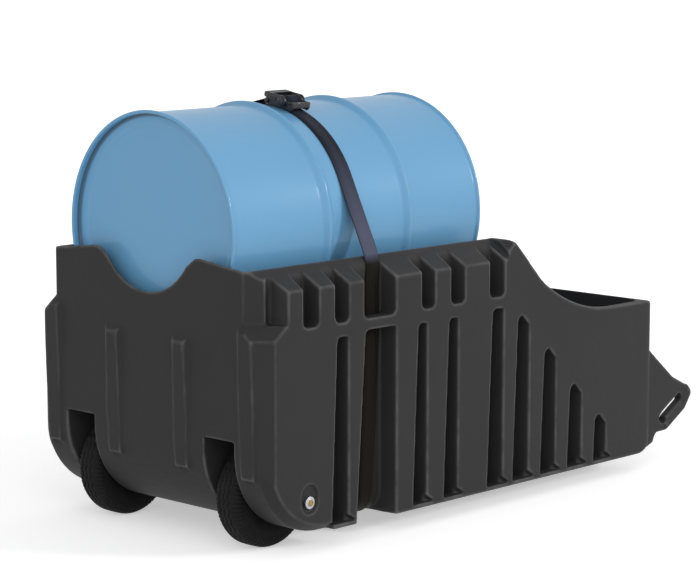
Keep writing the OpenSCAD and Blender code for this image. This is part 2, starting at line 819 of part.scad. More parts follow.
// Extrudes an outline drawn in local Y and Z along the spool, from x0 to x1
module sheet(x0, x1) { translate([x0, 0, 0]) rotate([90, 0, 90]) linear_extrude(x1 - x0) children(); }
module at_spool() { translate([spool_v, spool_w]) children(); }
module spool_hole() { at_spool() circle(spool_d/2 + run); }

module frame_side() difference() {
    front = spool_v - 40;
    union() {
        polygon([[front, 10], [front + 6, 3], [bolt_v + 8, 3], [bolt_v + 8, 12],
                 [bolt_v + 4, 15.5], [spool_v + 14, 15.5], [spool_v, 17],
                 [spool_v - 9, spool_w + 3.4], [front + 1, spool_w + 4.2]]);
        at_spool() circle(eye_r);
    }
    spool_hole();
    translate([spool_v - lock_out - pawl_travel - 0.1, spool_w - pawl_t/2 - 0.15])
        square([lock_out - notch_root + pawl_travel + 0.6, pawl_t + 0.3]);
    translate([bolt_v, bolt_w]) circle(strap_bolt_r + run);
}

module ratchet_frame() color("#2f3033") at_ratchet() {
    for (side = [0, 1]) mirror([side, 0, 0]) sheet(frame_in, frame_out) frame_side();
    sheet(-frame_out, frame_out) translate([-3, seat]) square([34, plate_t + 0.2]);
    for (side = [0, 1]) mirror([side, 0, 0]) sheet(frame_in, frame_out)
        translate([-3, seat]) square([34, 4]);
    sheet(-frame_out, frame_out) translate([spool_v - 40, 11]) square([plate_t, 13]);
}

module handle_side() difference() {
    union() {
        at_spool() circle(gear_r - 1);
        polygon([[spool_v, spool_w - 6], [rod_v - 4, 17.5], [rod_v + 7, 21], [rod_v + 7, 32],
                 [rod_v - 4, cover_w + plate_t], [14, cover_w + plate_t],
                 [spool_v, spool_w + gear_r - 1]]);
    }
    spool_hole();
    translate([spool_v + notch_root, spool_w - pawl_t/2 - 0.15])
        square([drive_out - notch_root + pawl_travel + 0.1, pawl_t + 0.3]);
}

module ratchet_handle() color("#26272a") at_ratchet() {
    for (side = [0, 1]) mirror([side, 0, 0]) sheet(handle_in, handle_out) handle_side();
    // cover, cross tab for the spring and the grip's rod
    sheet(-handle_out, handle_out) translate([cover_v, cover_w])
        square([rod_v - rod_r - sleeve_t - seat - cover_v, plate_t]);
    sheet(-handle_out, handle_out) translate([27.5, 17.8]) square([plate_t, cover_w - 17.8 + 1]);
    sheet(-handle_out, handle_out) translate([rod_v, rod_w]) circle(rod_r);
}

module handle_sleeve() color("#1c1d20") at_ratchet()
    sheet(-handle_in + seat, handle_in - seat) translate([rod_v, rod_w]) difference() {
        circle(rod_r + sleeve_t);
        circle(rod_r + run);
    }

module ratchet_spool() color(zinc) at_ratchet() difference() {
    sheet(-spool_half, spool_half) at_spool() circle(spool_d/2);
    sheet(-web_w/2 - 1, web_w/2 + 1) at_spool() square([spool_d + 2, web_t + 0.8], center = true);
}

// Saw-toothed wheels keyed on the spool beside the frame
module ratchet_wheels() color(zinc) at_ratchet() {
    for (side = [0, 1]) mirror([side, 0, 0]) sheet(gear_in, gear_out) at_spool() difference() {
        circle(gear_r);
        for (i = [0:gear_n - 1]) rotate(i*360/gear_n)
            polygon([[notch_root, -2], [gear_r + 2, -2.4], [gear_r + 2, 4], [notch_root, 2]]);
        circle(spool_d/2 + run);
    }
}

module spool_clips() color("#8d9094") at_ratchet() {
    for (side = [0, 1]) mirror([side, 0, 0]) sheet(handle_out + seat, handle_out + seat + 1.5)
        at_spool() difference() {
            circle(spool_d/2 + 3);
            circle(spool_d/2 + run);
        }
}

// Sprung plates: the drive pawl rides in the handle, the lock pawl in the frame
drive_in = gear_r + 0.4;
lock_in = notch_root + 0.5;
drive_out = 30;
lock_out = 29;

module drive_pawl() color(zinc) at_ratchet()
    sheet(-handle_out - 1.5, handle_out + 1.5)
        translate([spool_v + drive_in, spool_w - pawl_t/2]) square([drive_out - drive_in, pawl_t]);

// The lock pawl's middle stands back from the wound webbing
module lock_pawl() color(zinc) at_ratchet() {
    lock_mid = gear_r + 1;
    sheet(-gear_out - 0.1, gear_out + 0.1)
        translate([spool_v - lock_out, spool_w - pawl_t/2]) square([lock_out - lock_mid, pawl_t]);
    for (side = [0, 1]) mirror([side, 0, 0]) sheet(frame_in, gear_out + 0.1)
        translate([spool_v - lock_out, spool_w - pawl_t/2]) square([lock_out - lock_in, pawl_t]);
}

module spring(v0, v1) {
    translate([0, v0, spool_w]) rotate([-90, 0, 0]) difference() {
        cylinder(h = v1 - v0, r = 3);
        translate([0, 0, -1]) cylinder(h = v1 - v0 + 2, r = 2);
    }
}

module drive_spring() color("#8d9094") at_ratchet() spring(spool_v + drive_out + seat/2, 27.5 - seat/2);

module lock_spring() color("#8d9094") at_ratchet()
    spring(spool_v - 40 + plate_t + seat/2, spool_v - lock_out - seat/2);

module strap_bolt() color(zinc) at_ratchet() {
    sheet(-frame_out - 3, frame_out + 4.2) translate([bolt_v, bolt_w]) circle(strap_bolt_r);
    sheet(frame_out + 0.1, frame_out + 3) translate([bolt_v, bolt_w]) circle(6.4, $fn = 6);
    sheet(-frame_out - 3.4, -frame_out - 0.1) translate([bolt_v, bolt_w]) circle(6.4);
}

// Strap: a ribbon swept along a route made of arcs and straight runs.
// Points are [y, z] about the drum's axis; angles run from the top towards the near side.

web_gap = seat + web_t/2;
turn_pitch = web_t + seat;
turns = 1.25;
lap_r = shell_r + web_gap;
roll_r0 = spool_d/2 + web_gap;
roll_r = roll_r0 + turns*turn_pitch;
eye_lap_r = strap_bolt_r + web_gap;

function polar(r, a) = [-r*sin(a), r*cos(a)];
function local_pt(v, w) = let (r = shell_r + w) [v*cos(ratchet_a) - r*sin(ratchet_a),
                                                v*sin(ratchet_a) + r*cos(ratchet_a)];
spool_c = local_pt(spool_v, spool_w);
bolt_c = local_pt(bolt_v, bolt_w);
// Direction of a point from the drum's axis, from the top towards the near side
function heading(p) = atan2(-p[0], p[1]);

// Where the strap leaves the drum for the spool and for the bolt
spool_off = heading(spool_c) + acos((lap_r + roll_r)/norm(spool_c));
bolt_off = heading(bolt_c) - acos((lap_r + eye_lap_r)/norm(bolt_c));

// Where it bends over the side rim, and where it leaves the drum for that bend: the
// straight run between them touches both the drum and the rim's rounded crest
crest_c = [-(tub_y - crest_r), rim_z - crest_drop - drum_z];
crest_a = heading(crest_c) - acos((lap_r - crest_r - web_gap)/norm(crest_c));
rim_off = crest_a;
bend_n = 4;
function bend(n) = [for (i = [0:n]) crest_c + polar(crest_r + web_gap, crest_a + (90 - crest_a)*i/n)];
bend_p = [-tub_y - web_gap, crest_c[1]];

function lap(a0, a1, n) = [for (i = [0:n]) polar(lap_r, a0 + (a1 - a0)*i/n)];
function keel(side, n) = [for (i = [0:n]) let (a = 90*i/n)
    [side*(keel_y + (keel_r + web_gap)*cos(a)),
     base_z - drum_z + keel_r - (keel_r + web_gap)*sin(a)]];
// Turns on the spool, from the slot outwards to the run towards the drum
spiral_end = spool_off + 180;
function spiral(n) = [for (i = [0:n]) let (a = spiral_end + 360*turns*(1 - i/n),
    r = roll_r0 + (roll_r - roll_r0)*i/n) spool_c + polar(r, a)];
// Loop round the bolt, with its end laid back on the strap
function eye_loop(n) = [for (i = [0:n]) bolt_c + polar(eye_lap_r, bolt_off + 180 - 215*i/n)];
back_dir = polar(1, bolt_off + 90);
function tail() = let (p = polar(lap_r + turn_pitch + 1, bolt_off)) [p - back_dir*4,
    polar(lap_r + turn_pitch, bolt_off - 2), polar(lap_r + turn_pitch, bolt_off - 7)];

function mirror_y(pts) = [for (i = [len(pts) - 1:-1:0]) [-pts[i][0], pts[i][1]]];
near_run = concat(bend(bend_n), [[bend_p[0], belt_z - drum_z],
    [bend_p[0], base_z + keel_r + 60 - drum_z]], keel(-1, 10));
strap_route = concat(spiral(26), lap(spool_off, rim_off, 12), near_run, mirror_y(near_run),
    lap(-rim_off, bolt_off, 16), eye_loop(10), tail());

// Station of the strap's middle at a point of the route
straight_z = belt_z - 15;
function strap_station(p) = let (z = p[1] + drum_z)
    z > rim_z + 10 ? strap_s : z > straight_z ? bend_s
    : under_s + (bend_s - under_s)*max(0, z - base_z)/(straight_z - base_z);

function unit(v) = v/norm(v);
module ribbon(route) {
    n = len(route);
    pts = [for (i = [0:n - 1]) let (
        d0 = unit(route[max(i, 1)] - route[max(i, 1) - 1]),
        d1 = unit(route[min(i, n - 2) + 1] - route[min(i, n - 2)]),
        m = unit(d0 + d1),
        k = web_t/2/max(0.6, m*d0),
        nrm = [-m[1], m[0]]*k,
        s = strap_station(route[i]))
        for (c = [[-1, -1], [1, -1], [1, 1], [-1, 1]])
            [s + c[0]*web_w/2, route[i][0] + c[1]*nrm[0], route[i][1] + c[1]*nrm[1]]];
    sides = [for (i = [0:n - 2], j = [0:3]) let (a = 4*i + j, b = 4*i + (j + 1)%4)
        each [[a, b, b + 4], [a, b + 4, a + 4]]];
    polyhedron(pts, concat([[3, 2, 1], [3, 1, 0]], sides,
        [let (e = 4*n - 4) [e, e + 1, e + 2], let (e = 4*n - 4) [e, e + 2, e + 3]]));
}

module strap() color(web_navy) in_place() translate([0, 0, drum_z]) ribbon(strap_route);

// Drum, turned about its own axis; its outlines are drawn along the axis and in radius

module drum_at() in_place() translate([drum_s, 0, drum_z]) rotate([0, 90, 0]) children();

chime_l = 9;
hoop_half = 20;
function hoop(x, r) = [for (t = [-1:0.2:1.001]) [x + t*hoop_half, r + hoop_h*(0.5 + 0.5*cos(180*t))]];
function shell_side(r) = concat([[chime_l + 7, r]], hoop(hoop_at[0], r), hoop(hoop_at[1], r),
                                [[drum_l - chime_l - 7, r]]);
function reversed(pts) = [for (i = [len(pts) - 1:-1:0]) pts[i]];
function chime_end(x, dir) = [[x + dir*chime_l, chime_r - 0.8], [x + dir*2, chime_r], [x, chime_r - 2.5],
                              [x, shell_r - sheet_t + 2], [x + dir*1.5, shell_r - sheet_t]];

module drum_shell() color(blue_paint) drum_at() turned(concat(
    reversed(chime_end(0, 1)), shell_side(shell_r), chime_end(drum_l, -1),
    reversed(shell_side(shell_r - sheet_t))), 160);

// A head: flat middle, raised step and a skirt inside the chime
module drum_head() {
    r = shell_r - sheet_t - run;
    turned([[head_in, 0], [head_in, 250], [head_in - 4, 256], [head_in - 4, r - sheet_t],
            [2, r - sheet_t], [2, r], [head_in + sheet_t, r], [head_in + sheet_t, r - 8],
            [head_in - 4 + sheet_t, r - 12], [head_in - 4 + sheet_t, 256.5],
            [head_in + sheet_t, 250.5], [head_in + sheet_t, 0]], 160);
}

bung_at = 215;
large_r = 29;
small_r = 15;
flange_t = 3;
flange_fit = 0.15;

// Places a bung's pieces: the large one above the drum's middle, the small one below it
module at_bung(large) { translate([large ? -bung_at : bung_at, 0, 0]) children(); }

module drum_rear_head() color(blue_paint) drum_at() drum_head();

module drum_front_head() color(blue_paint) drum_at() translate([0, 0, drum_l]) mirror([0, 0, 1])
    difference() {
        drum_head();
        at_bung(true) translate([0, 0, -1]) cylinder(h = 40, r = large_r + flange_t + flange_fit);
        at_bung(false) translate([0, 0, -1]) cylinder(h = 40, r = small_r + flange_t + flange_fit);
    }

module bung_ring(r) difference() {
    union() {
        translate([0, 0, head_in - 2]) cylinder(h = 16, r = r + flange_t);
        translate([0, 0, head_in + sheet_t + 0.1]) cylinder(h = 3, r = r + flange_t + 8);
    }
    translate([0, 0, -1]) cylinder(h = 60, r = r);
}

module front_bung(large) drum_at() translate([0, 0, drum_l]) mirror([0, 0, 1]) at_bung(large)
    children();

module bung_flanges() color(zinc) {
    front_bung(true) bung_ring(large_r);
    front_bung(false) bung_ring(small_r);
}

// A plug with a rim and a recess with two lugs for the key
module bung(r) difference() {
    union() {
        translate([0, 0, head_in - 3.4 - 2.6]) cylinder(h = 2.6, r = r + flange_t);
        translate([0, 0, head_in - 3.5]) cylinder(h = 14, r = r - run);
    }
    translate([0, 0, head_in - 7]) cylinder(h = 9, r = r - 5);
}

module bung_large() color(zinc) front_bung(true) {
    bung(large_r);
    translate([0, 0, head_in + 1]) cube([8, 2*large_r - 12, 4], center = true);
}

module bung_small() color(zinc) front_bung(false) {
    bung(small_r);
    translate([0, 0, head_in + 1]) cube([5, 2*small_r - 12, 4], center = true);
}

module bung_gaskets() color("#b33a2c") {
    for (large = [true, false]) front_bung(large) translate([0, 0, head_in - 3.3]) difference() {
        cylinder(h = 1.2, r = (large ? large_r : small_r) + flange_t - 0.2);
        translate([0, 0, -1]) cylinder(h = 4, r = (large ? large_r : small_r) + run);
    }
}

body();
axle();
axle_caps();
axle_washers();
axle_spacers();
tyre_near();
tube_near();
rim_outer_near();
rim_inner_near();
hub_near();
bearings_near();
rim_bolts_near();
valve_near();
tyre_far();
tube_far();
rim_outer_far();
rim_inner_far();
hub_far();
bearings_far();
rim_bolts_far();
valve_far();
strap();
ratchet_frame();
ratchet_handle();
handle_sleeve();
ratchet_spool();
ratchet_wheels();
spool_clips();
drive_pawl();
drive_spring();
lock_pawl();
lock_spring();
strap_bolt();
drum_shell();
drum_rear_head();
drum_front_head();
bung_flanges();
bung_large();
bung_small();
bung_gaskets();
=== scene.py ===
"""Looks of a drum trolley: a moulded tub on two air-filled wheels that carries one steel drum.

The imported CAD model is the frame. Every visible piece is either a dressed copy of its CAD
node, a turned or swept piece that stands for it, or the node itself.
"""

import logging
import math
from dataclasses import dataclass
from enum import Enum
from typing import Callable, Iterator, Sequence

import bmesh
import bpy
import numpy as np
from mathutils import Matrix, Vector


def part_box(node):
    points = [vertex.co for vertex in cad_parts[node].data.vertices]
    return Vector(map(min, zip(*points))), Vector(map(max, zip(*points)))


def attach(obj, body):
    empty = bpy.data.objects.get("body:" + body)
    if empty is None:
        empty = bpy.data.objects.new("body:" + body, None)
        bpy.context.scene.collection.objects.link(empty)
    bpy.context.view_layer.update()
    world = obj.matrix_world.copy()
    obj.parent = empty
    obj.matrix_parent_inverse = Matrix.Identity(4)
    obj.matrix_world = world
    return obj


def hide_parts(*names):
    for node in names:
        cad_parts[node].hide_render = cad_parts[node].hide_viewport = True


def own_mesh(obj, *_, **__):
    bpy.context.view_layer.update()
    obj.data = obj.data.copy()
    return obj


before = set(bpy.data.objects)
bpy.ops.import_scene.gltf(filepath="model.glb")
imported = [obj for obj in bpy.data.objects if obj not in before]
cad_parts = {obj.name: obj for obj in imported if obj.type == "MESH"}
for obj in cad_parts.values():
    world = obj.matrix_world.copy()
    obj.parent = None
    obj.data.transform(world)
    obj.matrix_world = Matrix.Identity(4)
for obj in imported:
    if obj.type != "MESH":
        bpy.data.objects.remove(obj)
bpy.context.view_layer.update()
LOG = logging.getLogger("trolley")

MM = 0.001
# Distance from the rear wall's outer face to the origin, along X
ORIGIN_S = 0.836
# Points closer than this, in metres, are one point
MERGE = 1e-6
# Faces that meet at less than this angle, in degrees, are one flat face
FLAT = 0.6


# Shader graphs


class Value:
    """A number socket in a material, usable in Python expressions."""

    def __init__(self, graph: "Graph", socket: bpy.types.NodeSocket) -> None:
        """Wraps a socket of a graph."""
        self.graph = graph
        self.socket = socket

    def _with(self, operation: str, *others: "Value | float", flipped: bool = False) -> "Value":
        """Adds one Math node for an operation on this value and others."""
        terms = [self, *others]
        return self.graph.maths(operation, *(reversed(terms) if flipped else terms))

    def __add__(self, other: "Value | float") -> "Value":
        """This value plus another."""
        return self._with("ADD", other)

    __radd__ = __add__

    def __sub__(self, other: "Value | float") -> "Value":
        """This value minus another."""
        return self._with("SUBTRACT", other)

    def __rsub__(self, other: float) -> "Value":
        """A number minus this value."""
        return self._with("SUBTRACT", other, flipped=True)

    def __mul__(self, other: "Value | float") -> "Value":
        """This value times another."""
        return self._with("MULTIPLY", other)

    __rmul__ = __mul__

    def __truediv__(self, other: "Value | float") -> "Value":
        """This value divided by another."""
        return self._with("DIVIDE", other)

    def __pow__(self, other: float) -> "Value":
        """This value to a power."""
        return self._with("POWER", other)

    def sine(self) -> "Value":
        """The sine of this value."""
        return self._with("SINE")

    def distance_to(self, other: float) -> "Value":
        """How far this value is from a number."""
        return (self - other)._with("ABSOLUTE")

    def zigzag(self, period: float) -> "Value":
        """A triangle wave of this value, from 0 to half the period."""
        return self._with("PINGPONG", period / 2)

    def over(self, low: float, high: float) -> "Value":
        """0 below low, 1 above high and smooth between them."""
        node = self.graph.node("ShaderNodeMapRange", {"interpolation_type": "SMOOTHSTEP"},
                               {"Value": self, "From Min": low, "From Max": high})
        return Value(self.graph, node.outputs["Result"])

    def most(self, other: "Value | float") -> "Value":
        """The greater of this value and another."""
        return self._with("MAXIMUM", other)


Colour = tuple[float, float, float]
Source = Value | bpy.types.NodeSocket | float | Sequence[float]


def scaled(colour: Colour, share: float) -> Colour:
    """A colour made lighter or darker by a share."""
    return tuple(part * share for part in colour)


class Graph:
    """The node tree of a material or of the world."""

    def __init__(self, owner: bpy.types.Material | bpy.types.World) -> None:
        """Takes the owner's tree and empties it."""
        self.owner = owner
        owner.use_nodes = True
        self.tree = owner.node_tree
        self.tree.nodes.clear()

    def node(self, kind: str, settings: dict[str, object] | None = None,
             inputs: dict[str | int, Source] | None = None) -> bpy.types.Node:
        """Adds one node.

        Args:
            kind: The node's type.
            settings: Properties that are set first.
            inputs: Values or links of its sockets, by name or number.

        Returns:
            The node.
        """
        made = self.tree.nodes.new(kind)
        for key, setting in (settings or {}).items():
            setattr(made, key, setting)
        for key, value in (inputs or {}).items():
            socket = made.inputs[key]
            if isinstance(value, Value):
                value = value.socket
            if isinstance(value, bpy.types.NodeSocket):
                self.tree.links.new(value, socket)
            elif hasattr(value, "__len__") and len(value) == 3 and socket.type == "RGBA":
                socket.default_value = (*value, 1.0)
            else:
                socket.default_value = value
        return made

    def maths(self, operation: str, *terms: "Value | float") -> Value:
        """Adds a Math node and gives its result."""
        made = self.node("ShaderNodeMath", {"operation": operation}, dict(enumerate(terms)))
        return Value(self, made.outputs[0])

    def place(self, scale: Sequence[float] = (1, 1, 1)) -> bpy.types.NodeSocket:
        """Object coordinates, scaled along each axis."""
        source = self.node("ShaderNodeTexCoord").outputs["Object"]
        made = self.node("ShaderNodeMapping", {}, {"Vector": source, "Scale": scale})
        return made.outputs["Vector"]

    def _parts(self, vector: bpy.types.NodeSocket) -> list[Value]:
        """The three numbers of a vector."""
        made = self.node("ShaderNodeSeparateXYZ", {}, {"Vector": vector})
        return [Value(self, output) for output in made.outputs]

    def at(self) -> list[Value]:
        """The three object coordinates."""
        return self._parts(self.place())

    def uv(self) -> list[Value]:
        """The two coordinates of the piece's UV map."""
        return self._parts(self.node("ShaderNodeTexCoord").outputs["UV"])[:2]

    def attribute(self, name: str) -> Value:
        """A number kept on the piece's points."""
        made = self.node("ShaderNodeAttribute", {"attribute_name": name})
        return Value(self, made.outputs["Fac"])

    def noise(self, scale: float, detail: float = 2.0,
              where: bpy.types.NodeSocket | None = None) -> Value:
        """Smooth noise from 0 to 1 over the surface."""
        made = self.node("ShaderNodeTexNoise", {}, {"Vector": where or self.place(),
                                                    "Scale": scale, "Detail": detail})
        return Value(self, made.outputs["Fac"])

    def mix(self, share: Value, a: Source, b: Source) -> bpy.types.NodeSocket:
        """Goes from colour a to colour b as share goes from 0 to 1."""
        made = self.node("ShaderNodeMix", {"data_type": "RGBA"}, {0: share, 6: a, 7: b})
        return made.outputs[2]

    def bump(self, height: Value, depth: float,
             below: bpy.types.NodeSocket | None = None) -> bpy.types.NodeSocket:
        """A bumpy normal.

        Args:
            height: The relief from 0 to 1.
            depth: What 1 stands for, in metres.
            below: The normal that it lies on.

        Returns:
            The normal's socket.
        """
        inputs = {"Height": height, "Distance": depth, "Strength": 1.0}
        if below is not None:
            inputs["Normal"] = below
        return self.node("ShaderNodeBump", {}, inputs).outputs["Normal"]

    def surface(self, **inputs: Source) -> bpy.types.Material:
        """Ends the graph in a principled surface with these inputs."""
        named = {key.replace("_", " ").title().replace("Ior", "IOR"): value
                 for key, value in inputs.items()}
        shader = self.node("ShaderNodeBsdfPrincipled", {}, named)
        self.node("ShaderNodeOutputMaterial", {}, {"Surface": shader.outputs[0]})
        return self.owner


# Finishes


class Finish:
    """A finish that makes its material once and shares it among pieces."""

    _made: dict["Finish", bpy.types.Material] = {}

    def material(self) -> bpy.types.Material:
        """The finish's material."""
        if self not in Finish._made:
            name = "%s_%02d" % (type(self).__name__, len(Finish._made))
            Finish._made[self] = self.dress(Graph(bpy.data.materials.new(name)))
        return Finish._made[self]

    def dress(self, graph: Graph) -> bpy.types.Material:
        """Builds the shader."""
        raise NotImplementedError


@dataclass(frozen=True)
class TubPlastic(Finish):
    """Rotomoulded polyethylene: satin charcoal with a fine grain and painted highlights on its
    edges.
    """

    colour: Colour = (0.0245, 0.0243, 0.0252)
    worn: Colour = (0.155, 0.153, 0.153)
    wear: float = 0.7
    roughness: float = 0.54
    grain: float = 0.00012
    wave: float = 0.0016

    def dress(self, graph: Graph) -> bpy.types.Material:
        """Builds the shader."""
        cloud = graph.noise(3.1, 3)
        base = graph.mix(cloud.over(0.3, 0.75), self.colour, scaled(self.colour, 1.16))
        streak = graph.noise(9.0, 4, graph.place((1.0, 1.0, 0.12)))
        base = graph.mix(streak.over(0.55, 0.8) * 0.3, base, scaled(self.colour, 1.35))
        # Painted highlight: convex edges are made lighter, as where lamps glint on their
        # rounding.
        edge = graph.attribute("edge") * (graph.noise(26.0, 4).over(0.25, 0.7) * 0.6 + 0.4)
        base = graph.mix(edge * self.wear, base, self.worn)
        grain = graph.bump(graph.noise(900.0, 1), self.grain)
        wave = graph.bump(graph.noise(14.0, 2), self.wave, grain)
        return graph.surface(base_color=base, normal=wave, specular_ior_level=0.14,
                             roughness=cloud * 0.12 + graph.noise(60.0, 3) * 0.1
                             + (self.roughness - 0.11))


@dataclass(frozen=True)
class DrumPaint(Finish):
    """Enamel on sheet steel under a thin gloss: faint waves, and painted shade in the crevices
    beside the heads.

    The drum's height and the crevices' places along X and radii are in metres.
    """

    colour: Colour = (0.132, 0.338, 0.555)
    rubbed: Colour = (0.32, 0.46, 0.6)
    roughness: float = 0.44
    height: float = 0.754
    crevices: tuple[float, float] = (-0.8030, 0.0445)
    inside: tuple[float, float] = (0.2725, 0.2800)
    outside: tuple[float, float] = (0.2849, 0.2857)
    peel: float = 0.00004
    wave: float = 0.0005

    def dress(self, graph: Graph) -> bpy.types.Material:
        """Builds the shader."""
        cloud = graph.noise(2.3, 2)
        base = graph.mix(cloud.over(0.3, 0.8) * 0.5, self.colour, scaled(self.colour, 1.07))
        rub = graph.noise(55.0, 5, graph.place((1.0, 0.35, 0.35))).over(0.66, 0.8)
        base = graph.mix(rub * 0.10, base, self.rubbed)
        # Painted shade: the crevices beside the heads are darkened.
        base = graph.mix(self._grime(graph) * 0.85, base, scaled(self.colour, 0.18))
        peel = graph.bump(graph.noise(210.0, 1), self.peel)
        wave = graph.bump(graph.noise(7.0, 1), self.wave, peel)
        return graph.surface(base_color=base, normal=wave, specular_ior_level=0.22,
                             coat_weight=0.3, coat_roughness=0.08,
                             roughness=graph.noise(30.0, 3) * 0.08 + (self.roughness - 0.04))

    def _grime(self, graph: Graph) -> Value:
        """1 in the crevice between each head and the chime that it lies in, where shade is
        painted.
        """
        x, y, z = graph.at()
        radius = (y ** 2 + (z - self.height) ** 2) ** 0.5
        rear, front = (1 - x.distance_to(place).over(0.003, 0.010) for place in self.crevices)
        return (rear + front) * radius.over(*self.inside) * (1 - radius.over(*self.outside))


@dataclass(frozen=True)
class Webbing(Finish):
    """Woven polyester: herringbone beside a satin middle, with painted light making it pale above
    the rim's bend and painted shade making it dark below.
    """

    colour: Colour = (0.0075, 0.0092, 0.0150)
    sheen: Colour = (0.024, 0.028, 0.044)
    rubbed: Colour = (0.095, 0.105, 0.160)
    shaded: Colour = (0.0060, 0.0050, 0.0034)
    chevron: float = 12.5
    pick: float = 2.2
    end: float = 1.25
    satin: tuple[float, float] = (8.0, 12.0)
    selvage: tuple[float, float] = (22.2, 23.4)
    relief: float = 0.00025

    def dress(self, graph: Graph) -> bpy.types.Material:
        """Builds the shader, on a map of millimetres across and along."""
        across, along = graph.uv()
        chevron = (along + across.zigzag(self.chevron)) / self.pick * (2 * math.pi)
        twill = chevron.sine() * 0.5 + 0.5
        yarn = (across / self.end * (2 * math.pi)).sine() * 0.5 + 0.5
        middle = 1 - across.distance_to(0.0).over(*self.satin)
        edge = across.distance_to(0.0).over(*self.selvage)
        thread = twill * 0.6 + yarn * 0.4
        base = graph.mix(thread * 0.55 + middle * 0.35, self.colour, self.sheen)
        # Painted light: the run above the rim's bend is made paler, as where the lamps catch it.
        base = graph.mix(graph.attribute("rub") * (thread * 0.45 + 0.55), base, self.rubbed)
        base = graph.mix(edge * 0.6, base, self.colour)
        dark = graph.mix(thread, scaled(self.shaded, 0.8), scaled(self.shaded, 1.5))
        base = graph.mix(graph.attribute("shade"), base, dark)
        return graph.surface(base_color=base, normal=graph.bump(thread, self.relief),
                             specular_ior_level=0.08, sheen_weight=0.03,
                             roughness=0.74 - middle * 0.10 + thread * 0.06)


@dataclass(frozen=True)
class Metal(Finish):
    """Plated or bare steel with a faint grain."""

    colour: Colour = (0.60, 0.61, 0.63)
    dull: Colour = (0.42, 0.43, 0.45)
    roughness: float = 0.34
    mottle: float = 70.0
    grain: float = 0.00002

    def base(self, graph: Graph, cloud: Value) -> bpy.types.NodeSocket:
        """The metal's colour, mottled by a cloud."""
        return graph.mix(cloud.over(0.35, 0.75), self.colour, self.dull)

    def dress(self, graph: Graph) -> bpy.types.Material:
        """Builds the shader."""
        cloud = graph.noise(self.mottle, 4)
        return graph.surface(base_color=self.base(graph, cloud), metallic=1.0,
                             normal=graph.bump(graph.noise(1500.0, 2), self.grain),
                             roughness=cloud * 0.22 + (self.roughness - 0.08))


@dataclass(frozen=True)
class CapMetal(Metal):
    """A zinc cap with the gold-passivated spring nut in its middle.

    The axle's place along X and Z and the nut's radius are in metres.
    """

    mottle: float = 160.0
    gold: Colour = (0.42, 0.27, 0.085)
    axle: tuple[float, float] = (-0.690, 0.130)
    nut: float = 0.0081
    blur: float = 0.0003

    def base(self, graph: Graph, cloud: Value) -> bpy.types.NodeSocket:
        """The cap's colour, with the nut's inside its radius."""
        x, _, z = graph.at()
        away = ((x - self.axle[0]) ** 2 + (z - self.axle[1]) ** 2) ** 0.5
        gold = graph.mix(cloud.over(0.3, 0.7), self.gold, scaled(self.gold, 0.4))
        return graph.mix(1 - away.over(self.nut - self.blur, self.nut + self.blur),
                         super().base(graph, cloud), gold)


@dataclass(frozen=True)
class Coat(Finish):
    """Paint or powder coat on steel, rubbed bright in specks."""

    colour: Colour = (0.0155, 0.0158, 0.0175)
    bare: Colour = (0.10, 0.10, 0.105)
    roughness: float = 0.42
    metallic: float = 0.0

    def dress(self, graph: Graph) -> bpy.types.Material:
        """Builds the shader."""
        specks = graph.noise(420.0, 4).over(0.62, 0.72)
        cloud = graph.noise(24.0, 3)
        base = graph.mix(cloud.over(0.3, 0.8), self.colour, scaled(self.colour, 1.35))
        base = graph.mix(specks * 0.4, base, self.bare)
        return graph.surface(base_color=base, metallic=self.metallic,
                             normal=graph.bump(graph.noise(700.0, 2), 0.00004),
                             roughness=cloud * 0.16 + (self.roughness - 0.08))


@dataclass(frozen=True)
class Rubber(Finish):
    """Vulcanised rubber: matt, a little dusty where it is rough."""

    colour: Colour = (0.0070, 0.0070, 0.0078)
    dust: Colour = (0.026, 0.025, 0.025)
    roughness: float = 0.72

    def dress(self, graph: Graph) -> bpy.types.Material:
        """Builds the shader."""
        cloud = graph.noise(18.0, 5)
        base = graph.mix(cloud.over(0.45, 0.85) * 0.5, self.colour, self.dust)
        return graph.surface(base_color=base, specular_ior_level=0.15,
                             normal=graph.bump(graph.noise(1100.0, 2), 0.00006),
                             roughness=cloud * 0.14 + (self.roughness - 0.07))


@dataclass(frozen=True)
class Moulded(Finish):
    """Injection-moulded plastic with a fine spark-eroded texture."""

    colour: Colour = (0.0135, 0.0137, 0.015)
    roughness: float = 0.5

    def dress(self, graph: Graph) -> bpy.types.Material:
        """Builds the shader."""
        cloud = graph.noise(40.0, 3)
        base = graph.mix(cloud.over(0.3, 0.8), self.colour, scaled(self.colour, 1.4))
        return graph.surface(base_color=base, normal=graph.bump(graph.noise(1300.0, 1), 0.00005),
                             roughness=cloud * 0.12 + (self.roughness - 0.06))


# Shaping helpers


Point = tuple[float, float]


def linked(name: str, data: bpy.types.ID) -> bpy.types.Object:
    """A new object in the scene."""
    made = bpy.data.objects.new(name, data)
    bpy.context.scene.collection.objects.link(made)
    return made


def applied(rough: bpy.types.Object, keep_layers: bool = False) -> bpy.types.Mesh:
    """The mesh that an object's curve or modifiers give."""
    graph = bpy.context.evaluated_depsgraph_get()
    return bpy.data.meshes.new_from_object(rough.evaluated_get(graph), depsgraph=graph,
                                           preserve_all_data_layers=keep_layers)


